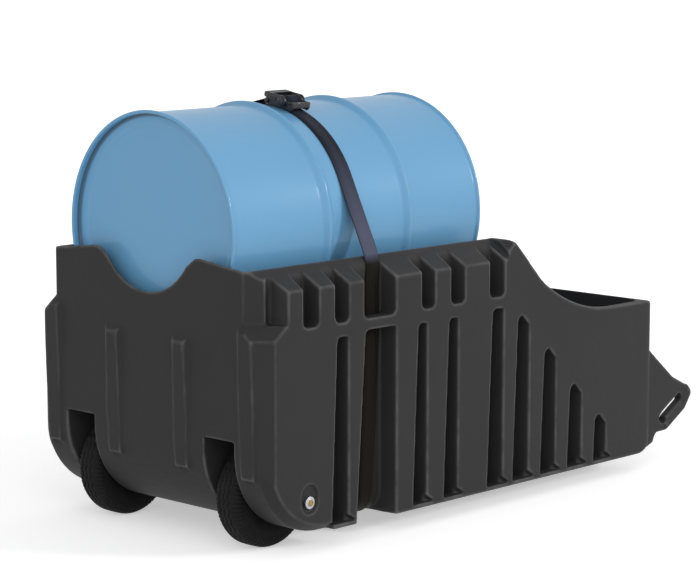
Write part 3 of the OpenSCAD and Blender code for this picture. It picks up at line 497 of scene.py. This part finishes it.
class Shape:
    """A bmesh that ends as one object at the origin."""

    def __init__(self) -> None:
        """Starts an empty mesh."""
        self.bm = bmesh.new()

    def turn(self, outline: Sequence[Point], steps: int = 96, closed: bool = True) -> "Shape":
        """Spins an outline about the X axis.

        Args:
            outline: Points of (distance along the axis, radius), in millimetres.
            steps: How many sides the turned piece has.
            closed: Whether the last point joins the first.
        """
        points = [self.bm.verts.new((x * MM, 0, r * MM)) for x, r in outline]
        ends = points[1:] + points[:1] if closed else points[1:]
        edges = [self.bm.edges.new(pair) for pair in zip(points, ends)]
        bmesh.ops.spin(self.bm, geom=points + edges, cent=(0, 0, 0), axis=(1, 0, 0),
                       angle=2 * math.pi, steps=steps, use_merge=True)
        return self.clean()

    def clean(self) -> "Shape":
        """Merges doubles and turns every face outwards."""
        bmesh.ops.remove_doubles(self.bm, verts=self.bm.verts, dist=MERGE)
        bmesh.ops.recalc_face_normals(self.bm, faces=self.bm.faces)
        return self

    def break_edges(self, width: float, segments: int = 2, angle: float = 30.0) -> "Shape":
        """Bevels the edges sharper than an angle in degrees, by a width in millimetres."""
        sharp = [e for e in self.bm.edges if len(e.link_faces) == 2
                 and e.calc_face_angle(0) > math.radians(angle)]
        bmesh.ops.bevel(self.bm, geom=sharp, offset=width * MM, affect="EDGES",
                        segments=segments, profile=0.5, material=-1, clamp_overlap=True)
        return self

    def moved(self, matrix: Matrix) -> "Shape":
        """Moves the whole mesh."""
        bmesh.ops.transform(self.bm, matrix=matrix, verts=self.bm.verts)
        return self

    def piece(self, name: str, finish: Finish, smooth_angle: float = 32.0) -> bpy.types.Object:
        """Makes the object. Edges sharper than the angle, in degrees, stay crisp."""
        mesh = bpy.data.meshes.new(name)
        self.bm.to_mesh(mesh)
        self.bm.free()
        mesh.shade_smooth()
        mesh.set_sharp_from_angle(angle=math.radians(smooth_angle))
        mesh.materials.append(finish.material())
        return linked(name, mesh)


def cad_shape(node: str, join_flats: bool = True) -> Shape:
    """A merged copy of a CAD node's mesh, with the triangles of flat faces joined."""
    shape = Shape()
    shape.bm.from_mesh(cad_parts[node].data)
    bmesh.ops.remove_doubles(shape.bm, verts=shape.bm.verts, dist=2 * MERGE)
    if join_flats:
        bmesh.ops.dissolve_limit(shape.bm, angle_limit=math.radians(FLAT), verts=shape.bm.verts,
                                 edges=shape.bm.edges)
    return shape


def settle(piece: bpy.types.Object, body: str, slot: str, *nodes: str) -> bpy.types.Object:
    """Hangs a piece on its body and hides the nodes that it stands for."""
    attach(piece, body)
    if nodes:
        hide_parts(*nodes)
    LOG.info("%s: %d faces, on %s", piece.name, len(piece.data.polygons), body)
    return piece


def dress(body: str, *rows: tuple[object, ...]) -> None:
    """Shows CAD nodes of one body as copies with broken edges and a finish.

    Args:
        body: The body that they ride on.
        rows: Each node's name, slot, finish, bevel in millimetres and, if not 2, segments.
    """
    for node, slot, finish, bevel, *segments in rows:
        shape = cad_shape(node)
        if bevel:
            shape.break_edges(bevel, *segments)
        settle(shape.piece(node + "_dressed", finish), body, slot, node)


# Sub-assemblies


@dataclass
class Tub:
    """The moulded tub, with the rounded edges that rotational moulding gives."""

    voxel: float = 3.2
    rounding: int = 9
    triangles: int = 186000
    blurs: int = 3
    # Lift, in millimetres, where the painted edge highlight starts and over which it grows.
    rubbed_from: float = 0.07
    rubbed_over: float = 0.25
    finish: Finish = TubPlastic()

    def build(self) -> bpy.types.Object:
        """Rounds a copy of the CAD body and dresses it."""
        rough = cad_shape("body", join_flats=False).piece("tub_rough", self.finish)
        rough.data.polygons.foreach_set("use_smooth", [False] * len(rough.data.polygons))
        remesh = rough.modifiers.new("skin", "REMESH")
        remesh.mode = "VOXEL"
        remesh.voxel_size = self.voxel * MM
        remesh.adaptivity = 0.0
        smooth = rough.modifiers.new("round", "SMOOTH")
        smooth.factor = 0.5
        smooth.iterations = self.rounding
        mesh = applied(rough, keep_layers=True)
        self._mark_edges(mesh)
        rough.modifiers.clear()
        rough.data = mesh
        thin = rough.modifiers.new("thin", "DECIMATE")
        thin.ratio = min(1.0, self.triangles / (2 * len(mesh.polygons)))
        mesh = applied(rough, keep_layers=True)
        bpy.data.objects.remove(rough)
        mesh.shade_smooth()
        return settle(linked("tub_shell", mesh), "tub", "tub_plastic", "body")

    def _mark_edges(self, mesh: bpy.types.Mesh) -> None:
        """Keeps how far each point stands out from its neighbours, for the painted edge
        highlights.
        """
        count = len(mesh.vertices)
        place, normal = np.empty((count, 3)), np.empty((count, 3))
        mesh.vertices.foreach_get("co", place.ravel())
        mesh.vertices.foreach_get("normal", normal.ravel())
        ends = np.empty(len(mesh.edges) * 2, np.int64)
        mesh.edges.foreach_get("vertices", ends)
        a, b = ends.reshape(-1, 2).T
        total = np.zeros((count, 3))
        shared = np.zeros(count)
        for one, other in ((a, b), (b, a)):
            np.add.at(total, one, place[other])
            np.add.at(shared, one, 1)
        lift = ((place - total / shared[:, None]) * normal).sum(1) / MM
        for _ in range(self.blurs):
            blur = np.zeros(count)
            np.add.at(blur, a, lift[b])
            np.add.at(blur, b, lift[a])
            lift = 0.5 * lift + 0.5 * blur / shared
        value = np.clip((lift - self.rubbed_from) / self.rubbed_over, 0, 1).astype(np.float32)
        mesh.attributes.new("edge", "FLOAT", "POINT").data.foreach_set("value", value)


@dataclass
class Drum:
    """The steel drum: shell with two rolling hoops, two heads and the bungs."""

    station: float = 14.0
    height: float = 754.0
    length: float = 880.0
    shell_r: float = 286.0
    chime_r: float = 292.0
    sheet: float = 1.2
    hoop_h: float = 12.0
    hoop_half: float = 20.0
    hoop_steps: int = 12
    hoops: tuple[float, float] = (0.366, 0.69)
    head_in: float = 25.0
    seam: float = 0.05
    steps: int = 256
    finish: Finish = DrumPaint()

    def _place(self) -> Matrix:
        """Takes a piece turned about X to the drum's rear end."""
        return Matrix.Translation((self.station * MM - ORIGIN_S, 0, self.height * MM))

    def _curl(self) -> list[Point]:
        """Outline of the rolled chime, from inside the sheet over the roll to the shell."""
        roll = [(4.6 + 4.4 * math.cos(a), self.chime_r - 3.4 + 3.4 * math.sin(a))
                for a in (math.radians(d) for d in range(200, 19, -20))]
        return [(1.6, self.shell_r - self.sheet), (0.7, self.shell_r + 0.2), *roll,
                (9.6, self.chime_r - 3.6), (10.6, self.shell_r + 0.9),
                (13.0, self.shell_r + 0.2), (16.0, self.shell_r)]

    def _wall(self, radius: float) -> list[Point]:
        """Outline of the shell between the chimes, with its two hoops."""
        n = self.hoop_steps
        return [(share * self.length + t / n * self.hoop_half,
                 radius + self.hoop_h * (0.5 + 0.5 * math.cos(math.pi * t / n)))
                for share in self.hoops for t in range(-n, n + 1)]

    def shell(self) -> bpy.types.Object:
        """Turns the shell."""
        curl = self._curl()
        front = [(self.length - x, r) for x, r in reversed(curl)]
        inner = [(x, r) for x, r in reversed(self._wall(self.shell_r - self.sheet))]
        return self._turned("drum_shell", curl + self._wall(self.shell_r) + front + inner, True)

    def head(self) -> bpy.types.Object:
        """Turns the rear head: a flat middle, a raised step and a skirt inside the chime."""
        d, r = self.head_in, self.shell_r - self.sheet - self.seam
        face = [(d, 0.0), (d, 60.0), (d, 150.0), (d, 246.0), (d - 0.5, 249.5), (d - 2.0, 252.5),
                (d - 3.5, 255.5), (d - 4.0, 259.0), (d - 4.0, r - 10.0), (d - 4.6, r - 6.0),
                (d - 6.5, r - 3.2), (d - 9.5, r - 1.6), (4.0, r - self.sheet), (2.4, r - 0.9)]
        back = [(2.0, r), (d - 8.0, r), (d + 0.2, r - 3.0), (d - 2.6, r - 9.0), (d - 2.8, 259.0),
                (d + 1.2, 248.0), (d + 1.2, 0.0)]
        return self._turned("drum_rear_head", face + back, False)

    def _turned(self, node: str, outline: Sequence[Point], closed: bool) -> bpy.types.Object:
        """Turns and paints the piece that stands for a node."""
        made = Shape().turn(outline, self.steps, closed).moved(self._place())
        return settle(made.piece(node + "_painted", self.finish, 50), "tub", "drum_paint", node)

    def build(self) -> None:
        """Makes the drum's pieces."""
        self.shell()
        self.head()
        red = Rubber(colour=(0.36, 0.035, 0.022), dust=(0.42, 0.08, 0.05))
        dress("tub",
              ("drum_front_head", "drum_paint", self.finish, 0.3, 1),
              ("bung_flanges", "zinc_steel", Metal(), 0.5),
              ("bung_large", "zinc_steel", Metal(), 0.6),
              ("bung_small", "zinc_steel", Metal(), 0.5),
              ("bung_gaskets", "gasket_rubber", red, 0.2, 1))


class Side(Enum):
    """The trolley's side that a wheel is on, as the sign of Y."""

    NEAR = -1
    FAR = 1

    @property
    def word(self) -> str:
        """The end of the wheel's node names."""
        return self.name.lower()


@dataclass
class Wheel:
    """One air-filled wheel: tyre with a zigzag tread, split rim, hub and fastenings."""

    side: Side
    station: float = 146.0
    middle_y: float = 250.0
    tyre_r: float = 130.0
    tyre_w: float = 80.0
    bead_r: float = 51.3
    bead_w: float = 42.0
    grooves: tuple[float, ...] = (-14.5, 0.0, 14.5)
    groove_depth: float = 3.4
    groove_half: float = 3.2
    groove_slope: float = 1.3
    waves: int = 34
    wave: float = 2.4
    lugs: int = 68
    lug_depth: float = 2.6
    lug_from: float = 23.5
    lug_rise: float = 3.0
    gap_share: float = 0.42
    gap_slope: float = 0.16
    tread_low: float = 96.0
    crown_low: float = 122.0
    crown_half: float = 20.0
    crown_fall: float = 0.95
    tuck: float = 0.7
    tuck_from: float = 32.0
    steps: int = 408

    def _place(self) -> Matrix:
        """Takes a piece turned about X to the wheel, with X away from the trolley's middle."""
        turn = Matrix.Rotation(math.radians(90 * self.side.value), 4, "Z")
        out = self.side.value * self.middle_y
        at = (self.station * MM - ORIGIN_S, out * MM, self.tyre_r * MM)
        return Matrix.Translation(at) @ turn

    def _outline(self) -> list[Point]:
        """Outline of the tyre: across the tread, down the sidewall and round the inside."""
        half = self.tyre_w / 2
        tread = [(x / 2, self.tyre_r - 0.0012 * (x / 2) ** 2) for x in range(-44, 45, 2)]
        shoulder = [(half - 20.5 + 19.5 * math.cos(a), self.tyre_r - 21.0 + 19.8 * math.sin(a))
                    for a in (math.radians(d) for d in range(72, -10, -9))]
        wall = [(half - 1.5, self.tyre_r - 31), (half - 3.5, self.tyre_r - 42),
                (half - 8.0, self.tyre_r - 54), (half - 13.0, self.tyre_r - 64),
                (self.bead_w / 2 + 3.2, self.bead_r + 9.4), (self.bead_w / 2, self.bead_r + 8.8),
                (self.bead_w / 2 - 1, self.bead_r)]
        right = shoulder + wall
        left = [(-x, r) for x, r in reversed(right)]
        cavity = [(13, self.bead_r), (13, self.bead_r + 12), (30, 100), (24, 114), (0, 121),
                  (-24, 114), (-30, 100), (-13, self.bead_r + 12), (-13, self.bead_r)]
        return left + tread + right + cavity

    def tyre(self) -> bpy.types.Object:
        """Turns the tyre, then presses the tread's grooves and lugs into it."""
        shape = Shape().turn(self._outline(), self.steps)
        for vert in shape.bm.verts:
            x, radius = vert.co.x / MM, math.hypot(vert.co.y, vert.co.z) / MM
            if radius < self.tread_low:
                continue
            sink = self._sink(x, math.atan2(vert.co.z, vert.co.y) / (2 * math.pi))
            low = self.crown_low - max(0.0, abs(x) - self.crown_half) * self.crown_fall
            if sink and radius > low:
                factor = (radius - sink) / radius
                vert.co.y *= factor
                vert.co.z *= factor
                if abs(x) > self.tuck_from:
                    vert.co.x -= math.copysign(sink * self.tuck * MM, x)
        name = "tyre_" + self.side.word
        return settle(shape.moved(self._place()).piece(name + "_moulded", Rubber(), 60),
                      "wheel_" + self.side.word, "tyre_rubber", name)

    def _sink(self, x: float, turn: float) -> float:
        """How deep the tread lies under the tyre's outline.

        Args:
            x: Distance from the tyre's middle, in millimetres.
            turn: The place round the tyre, in turns.

        Returns:
            The depth in millimetres.
        """
        wave = abs((turn * self.waves) % 1 - 0.5) * 4 - 1
        depth = 0.0
        for groove in self.grooves:
            off = abs(x - groove - self.wave * wave)
            depth = max(depth, self.groove_depth
                        * min(1.0, max(0.0, (self.groove_half - off) / self.groove_slope)))
        if abs(x) > self.lug_from:
            lug = abs((turn * self.lugs + (0.25 if x > 0 else 0.0)) % 1 - 0.5) * 2
            rise = min(1.0, (abs(x) - self.lug_from) / self.lug_rise)
            depth = max(depth, self.lug_depth * rise
                        * min(1.0, max(0.0, (self.gap_share - lug) / self.gap_slope)))
        return depth

    def build(self) -> None:
        """Makes the wheel's pieces."""
        word = self.side.word
        rim = Coat(colour=(0.30, 0.31, 0.325), bare=(0.16, 0.15, 0.14), roughness=0.36,
                   metallic=0.55)
        race = Metal(colour=(0.5, 0.5, 0.51), roughness=0.28)
        self.tyre()
        dress("wheel_" + word,
              ("tube_" + word, "tube_rubber", Rubber(roughness=0.6), 0.0),
              ("rim_outer_" + word, "rim_paint", rim, 0.5),
              ("rim_inner_" + word, "rim_paint", rim, 0.5),
              ("hub_" + word, "zinc_steel", Metal(), 0.8),
              ("bearings_" + word, "zinc_steel", race, 0.3, 1),
              ("rim_bolts_" + word, "zinc_steel", Metal(), 0.35),
              ("valve_" + word, "tube_rubber", Moulded(), 0.4))


def axle() -> None:
    """Makes the axle with its caps, washers and spacers."""
    cap = CapMetal(colour=(0.50, 0.52, 0.56), dull=(0.34, 0.35, 0.37))
    dress("tub",
          ("axle", "zinc_steel", Metal(roughness=0.3), 1.0),
          ("axle_caps", "zinc_steel", cap, 1.2, 3),
          ("axle_washers", "zinc_steel", Metal(), 0.3),
          ("axle_spacers", "zinc_steel", Metal(), 0.4))


@dataclass
class Strap:
    """The webbing strap, swept along the same route as its solid.

    Angles run from the top of the drum towards the near side, and points are (y, z) about
    the drum's axis, in millimetres. Heights that end in _z are above the floor.
    """

    width: float = 50.0
    thick: float = 2.5
    drum_z: float = 754.0
    shell_r: float = 286.0
    lean: float = 11.5
    seat: float = 0.3
    spool: Point = (-14.0, 20.0)
    spool_r: float = 9.5
    turns: float = 1.25
    bolt: Point = (38.0, 10.8)
    bolt_r: float = 4.0
    tub_y: float = 361.0
    crest_r: float = 40.0
    crest_z: float = 656.0
    keel_r: float = 60.0
    base_z: float = 50.0
    groove_z: float = 500.0
    turn_z: float = 640.0
    rim_z: float = 700.0
    keel_s: float = 386.0
    groove_s: float = 410.0
    lap_s: float = 420.0
    dark_z: float = 680.0
    dark_fade: float = 9.0
    # Height where the painted light on the strap's lower run starts, and over which it fades in.
    rub_z: float = 950.0
    rub_fade: float = 200.0
    selvage: float = 0.8

    def __post_init__(self) -> None:
        """Works out where the straight runs touch."""
        self.gap = self.seat + self.thick / 2
        self.pitch = self.thick + self.seat
        self.lap_r = self.shell_r + self.gap
        self.roll_0 = self.spool_r + self.gap
        self.roll_1 = self.roll_0 + self.turns * self.pitch
        self.eye_r = self.bolt_r + self.gap
        self.spool_c = self._local(*self.spool)
        self.bolt_c = self._local(*self.bolt)
        self.spool_off = self._heading(self.spool_c) + math.degrees(
            math.acos((self.lap_r + self.roll_1) / self.spool_c.length))
        self.bolt_off = self._heading(self.bolt_c) - math.degrees(
            math.acos((self.lap_r + self.eye_r) / self.bolt_c.length))
        self.crest_c = Vector((-(self.tub_y - self.crest_r), self.crest_z - self.drum_z))
        self.crest_a = self._heading(self.crest_c) - math.degrees(
            math.acos((self.lap_r - self.crest_r - self.gap) / self.crest_c.length))

    @staticmethod
    def _polar(radius: float, angle: float) -> Vector:
        """The point at a radius and an angle in degrees."""
        a = math.radians(angle)
        return Vector((-radius * math.sin(a), radius * math.cos(a)))

    def _local(self, v: float, w: float) -> Vector:
        """A point of the ratchet's own frame of reference."""
        a, r = math.radians(self.lean), self.shell_r + w
        return Vector((v * math.cos(a) - r * math.sin(a), v * math.sin(a) + r * math.cos(a)))

    @staticmethod
    def _heading(p: Vector) -> float:
        """Direction of a point from the drum's axis, in degrees."""
        return math.degrees(math.atan2(-p.x, p.y))

    def _keel(self, side: int, n: int) -> list[Vector]:
        """The bend under the tub's edge."""
        y = self.tub_y - self.keel_r
        r = self.keel_r + self.gap
        z = self.base_z - self.drum_z + self.keel_r
        return [Vector((side * (y + r * math.cos(a)), z - r * math.sin(a)))
                for a in (math.pi / 2 * i / n for i in range(n + 1))]

    def _lap(self, a0: float, a1: float, n: int) -> list[Vector]:
        """Round the drum from one angle to another."""
        return [self._polar(self.lap_r, a0 + (a1 - a0) * i / n) for i in range(n + 1)]

    def route(self) -> list[Vector]:
        """The strap's line from its end in the spool to its end behind the bolt."""
        spiral = []
        for i in range(61):
            a = self.spool_off + 180 + 360 * self.turns * (1 - i / 60)
            r = self.roll_0 + (self.roll_1 - self.roll_0) * i / 60
            spiral.append(self.spool_c + self._polar(r, a))
        bend = [self.crest_c + self._polar(self.crest_r + self.gap,
                                           self.crest_a + (90 - self.crest_a) * i / 10)
                for i in range(11)]
        wall = -self.tub_y - self.gap
        fall = [Vector((wall, z - self.drum_z)) for z in (600, 560, 515, 440, 360, 280, 220, 170)]
        near = bend + fall + self._keel(-1, 12)
        far = [Vector((-p.x, p.y)) for p in reversed(near)]
        eye = [self.bolt_c + self._polar(self.eye_r, self.bolt_off + 180 - 215 * i / 16)
               for i in range(17)]
        start = self._polar(self.lap_r + self.pitch + 1, self.bolt_off)
        tail = [start - self._polar(1, self.bolt_off + 90) * 4,
                *(self._polar(self.lap_r + self.pitch, self.bolt_off - a) for a in (2, 5, 7))]
        return (spiral + self._lap(self.spool_off, self.crest_a, 30)[1:] + near + far
                + self._lap(-self.crest_a, self.bolt_off, 36)[1:-1] + eye + tail)

    def _station(self, z: float) -> float:
        """Station of the strap's middle at a height above the floor."""
        if z > self.rim_z:
            return self.lap_s
        if z > self.groove_z:
            rise = max(0.0, (z - self.turn_z) / (self.rim_z - self.turn_z))
            return self.groove_s + (self.lap_s - self.groove_s) * rise
        rise = max(0.0, z - self.base_z) / (self.groove_z - self.base_z)
        return self.keel_s + (self.groove_s - self.keel_s) * rise

    def _section(self) -> list[Point]:
        """Outline of the webbing's flat section, across and through it."""
        half, thin = self.width / 2, self.thick / 2
        across = (self.selvage - half, -half / 2, 0, half / 2, half - self.selvage)
        return [(-half, 0), *((u, -thin) for u in across), (half, 0),
                *((u, thin) for u in reversed(across))]

    def _rings(self, section: Sequence[Point]) -> Iterator[tuple[float, float, list[Vector]]]:
        """Each ring's height above the floor, its place along the strap and its points."""
        route = self._spaced(self.route())
        run = 0.0
        for i, p in enumerate(route):
            back = (p - route[i - 1]).normalized() if i else (route[1] - p).normalized()
            ahead = (route[i + 1] - p).normalized() if i + 1 < len(route) else back
            along = (back + ahead).normalized()
            normal = Vector((-along.y, along.x)) / max(0.7, along.dot(back))
            if i:
                run += (p - route[i - 1]).length
            z = p.y + self.drum_z
            s = self._station(z)
            yield z, run, [Vector(((s + u) * MM - ORIGIN_S, (p.x + w * normal.x) * MM,
                                   (z + w * normal.y) * MM)) for u, w in section]
        LOG.info("strap route: %.0f mm, %d points", run, len(route))

    def build(self) -> bpy.types.Object:
        """Sweeps the webbing's flat section along the route."""
        section = self._section()
        shape = Shape()
        uv = shape.bm.loops.layers.uv.new("webbing")
        shade = shape.bm.verts.layers.float.new("shade")
        rub = shape.bm.verts.layers.float.new("rub")
        last: list[bmesh.types.BMVert] = []
        for z, run, places in self._rings(section):
            if last:
                edges = [next(e for e in a.link_edges if e.other_vert(a) is b)
                         for a, b in zip(last, last[1:] + last[:1])]
                out = bmesh.ops.extrude_edge_only(shape.bm, edges=edges)["geom"]
                fresh = {g for g in out if isinstance(g, bmesh.types.BMVert)}
                faces = [g for g in out if isinstance(g, bmesh.types.BMFace)]
                ring = [next(edge.other_vert(old) for edge in old.link_edges
                             if edge.other_vert(old) in fresh) for old in last]
                for vert, place in zip(ring, places):
                    vert.co = place
                self._map(faces, last, ring, section, uv, last_run, run)
            else:
                ring = first = [shape.bm.verts.new(place) for place in places]
                for pair in zip(ring, ring[1:] + ring[:1]):
                    shape.bm.edges.new(pair)
            # Painted shade darkens the strap below the rim's bend, and painted light makes the
            # run above it paler.
            dark = min(1.0, max(0.0, (self.dark_z - z) / self.dark_fade))
            pale = min(1.0, max(0.0, (self.rub_z - z) / self.rub_fade)) * (1.0 - dark)
            for vert in ring:
                vert[shade], vert[rub] = dark, pale
            last, last_run = ring, run
        shape.bm.faces.new(list(reversed(last)))
        shape.bm.faces.new(first)
        bmesh.ops.recalc_face_normals(shape.bm, faces=shape.bm.faces)
        return settle(shape.piece("strap_webbing", Webbing(), 60), "tub", "webbing", "strap")

    @staticmethod
    def _spaced(route: Sequence[Vector], most: float = 22.0) -> list[Vector]:
        """Puts points on the straight runs, so that no two lie further apart than most."""
        spaced = [route[0]]
        for p, q in zip(route, route[1:]):
            count = max(1, math.ceil((q - p).length / most))
            spaced += [p.lerp(q, i / count) for i in range(1, count + 1)]
        return spaced

    @staticmethod
    def _map(faces: Sequence[bmesh.types.BMFace], old: list[bmesh.types.BMVert],
             new: list[bmesh.types.BMVert], section: Sequence[Point],
             uv: bmesh.types.BMLayerItem, run_0: float, run_1: float) -> None:
        """Gives the faces between two rings their map in millimetres."""
        where = {}
        for ring, run in ((old, run_0), (new, run_1)):
            for vert, (u, _) in zip(ring, section):
                where[vert] = (u, run)
        for face in faces:
            for loop in face.loops:
                loop[uv].uv = where[loop.vert]


@dataclass
class Ratchet:
    """The ratchet buckle: frame, handle with its sleeve, spool, wheels, pawls and springs."""

    lean: float = 11.5
    travel: float = 3.2
    coils: int = 7
    coil_steps: int = 20
    coil_r: float = 2.5
    wire: float = 0.45
    tube_r: float = 3.0

    def _coil(self, node: str, body: str, joint: str, fixed: float) -> bpy.types.Object:
        """Winds a spring of round wire in the space of its node.

        Args:
            node: The spring's CAD node.
            body: The body that its fixed end rides on.
            joint: The slide that presses it together; not used.
            fixed: 1 where its upper end stays, -1 where its lower one does; not used.
        """
        low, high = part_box(node)
        lean = math.radians(self.lean)
        axis = Vector((0, math.cos(lean), math.sin(lean)))
        middle = (low + high) / 2
        radius, wire = self.coil_r * MM, self.wire * MM
        span = ((high - low).y / math.cos(lean) - 2 * (self.tube_r * MM) * math.tan(lean)
                - 2 * wire)
        curve = bpy.data.curves.new(node + "_coil", "CURVE")
        curve.dimensions = "3D"
        curve.bevel_depth = wire
        curve.bevel_resolution = 3
        spline = curve.splines.new("POLY")
        steps = self.coils * self.coil_steps
        spline.points.add(steps)
        side = Vector((1, 0, 0))
        up = axis.cross(side)
        for i in range(steps + 1):
            turn = 2 * math.pi * i / self.coil_steps
            p = (middle + axis * span * (i / steps - 0.5)
                 + side * radius * math.cos(turn) + up * radius * math.sin(turn))
            spline.points[i].co = (*p, 1)
        rough = linked(node + "_rough", curve)
        mesh = applied(rough)
        bpy.data.objects.remove(rough)
        mesh.materials.clear()
        mesh.materials.append(Metal().material())
        mesh.shade_smooth()
        made = settle(linked(node + "_coil", mesh), body, "zinc_steel", node)
        length = span + 2 * wire
        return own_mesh(made, joint, axis=tuple(axis),
                         anchor=tuple(middle + axis * (fixed * length / 2)),
                         keep=1 - self.travel * MM / length)

    def build(self) -> None:
        """Makes the ratchet's pieces."""
        black = Coat()
        zinc = Metal(colour=(0.085, 0.087, 0.095), dull=(0.045, 0.046, 0.052), roughness=0.42)
        toothed = Metal(colour=(0.10, 0.10, 0.11), dull=(0.06, 0.06, 0.066), roughness=0.4)
        dress("tub", ("ratchet_frame", "buckle_black", black, 0.5))
        dress("handle",
              ("ratchet_handle", "buckle_black", black, 0.5),
              ("handle_sleeve", "sleeve_plastic", Moulded(), 0.6))
        dress("tub",
              ("ratchet_spool", "zinc_steel", zinc, 0.4),
              ("ratchet_wheels", "zinc_steel", toothed, 0.25, 1),
              ("spool_clips", "zinc_steel", zinc, 0.2, 1))
        for pawl in ("drive_pawl", "lock_pawl"):
            dress(pawl, (pawl, "zinc_steel", zinc, 0.3))
        dress("tub", ("strap_bolt", "zinc_steel", zinc, 0.4))
        self._coil("drive_spring", "handle", "drive_pawl_slide", 1)
        self._coil("lock_spring", "tub", "lock_pawl_slide", -1)


# Camera, floor and light


@dataclass
class Studio:
    """The camera at the photograph's angle, a pale floor and soft light."""

    eye: tuple[float, float, float] = (-4.8210, -4.4893, 1.4935)
    yaw: float = 43.7065
    pitch: float = 8.3705
    sensor: float = 36.0
    lens: float = 129.1
    reach: float = 200.0
    sky: float = 0.53
    front: float = 1.25
    front_from: tuple[float, float, float] = (-0.72, -0.62, 0.24)
    front_spread: float = 75.0
    right: float = 1.15
    right_from: tuple[float, float, float] = (0.50, -0.775, 0.386)
    right_spread: float = 10.0
    floor_half: float = 60.0
    floor_glow: float = 0.45

    def camera(self) -> None:
        """Places the camera."""
        data = bpy.data.cameras.new("camera")
        data.sensor_width = self.sensor
        data.lens = self.lens
        data.clip_end = self.reach
        made = linked("camera", data)
        yaw, pitch = math.radians(self.yaw), math.radians(self.pitch)
        ahead = Vector((math.cos(yaw) * math.cos(pitch), math.sin(yaw) * math.cos(pitch),
                        -math.sin(pitch)))
        made.location = self.eye
        made.rotation_mode = "QUATERNION"
        made.rotation_quaternion = ahead.to_track_quat("-Z", "Y")
        bpy.context.scene.camera = made

    @staticmethod
    def _sun(name: str, heading: Sequence[float], spread: float, power: float) -> None:
        """Lights everything alike from one side, with a spread in degrees."""
        data = bpy.data.lights.new(name, "SUN")
        data.angle = math.radians(spread)
        data.energy = power
        made = linked(name, data)
        made.rotation_mode = "QUATERNION"
        made.rotation_quaternion = (-Vector(heading)).to_track_quat("-Z", "Y")

    @staticmethod
    def _seen(graph: Graph) -> Value:
        """1 for rays from the camera, and for what gloss and glass show."""
        path = graph.node("ShaderNodeLightPath").outputs
        seen = Value(graph, path["Is Camera Ray"]).most(Value(graph, path["Is Glossy Ray"]))
        return seen.most(Value(graph, path["Is Transmission Ray"]))

    def floor(self) -> None:
        """Lays the pale floor."""
        shape = Shape()
        bmesh.ops.create_grid(shape.bm, x_segments=8, y_segments=8, size=self.floor_half)
        graph = Graph(bpy.data.materials.new("floor_white"))
        cloud = graph.noise(1.4, 2)
        glow = graph.mix(self._seen(graph), (0.0, 0.0, 0.0), (self.floor_glow,) * 3)
        graph.surface(base_color=graph.mix(cloud, (0.92, 0.92, 0.92), (0.93, 0.93, 0.93)),
                      emission_color=glow, emission_strength=1.0,
                      roughness=0.9, specular_ior_level=0.0)
        mesh = bpy.data.meshes.new("floor")
        shape.bm.to_mesh(mesh)
        shape.bm.free()
        mesh.materials.append(graph.owner)
        made = linked("floor", mesh)

    def light(self) -> None:
        """Sets the sky and the lamps."""
        graph = Graph(bpy.data.worlds.new("sky"))
        bpy.context.scene.world = graph.owner
        strength = self._seen(graph) * (1.0 - self.sky) + self.sky
        sky = graph.node("ShaderNodeBackground", {}, {"Color": (1, 1, 1), "Strength": strength})
        graph.node("ShaderNodeOutputWorld", {}, {"Surface": sky.outputs[0]})
        self._sun("front", self.front_from, self.front_spread, self.front)
        self._sun("right", self.right_from, self.right_spread, self.right)
        bpy.context.scene.view_settings.view_transform = "Standard"


def make(step: str, build: Callable[[], object]) -> None:
    """Runs one step and logs it."""
    LOG.info("making %s", step)
    build()


def main() -> None:
    """Builds the camera, every sub-assembly and the studio, in order."""
    logging.basicConfig(level=logging.INFO, format="%(name)s: %(message)s")
    studio = Studio()
    make("camera", studio.camera)
    make("tub", Tub().build)
    make("drum", Drum().build)
    for side in Side:
        make("wheel " + side.word, Wheel(side).build)
    make("axle", axle)
    make("strap", Strap().build)
    make("ratchet", Ratchet().build)
    make("floor", studio.floor)
    make("light", studio.light)


if __name__ == "__main__":
    main()
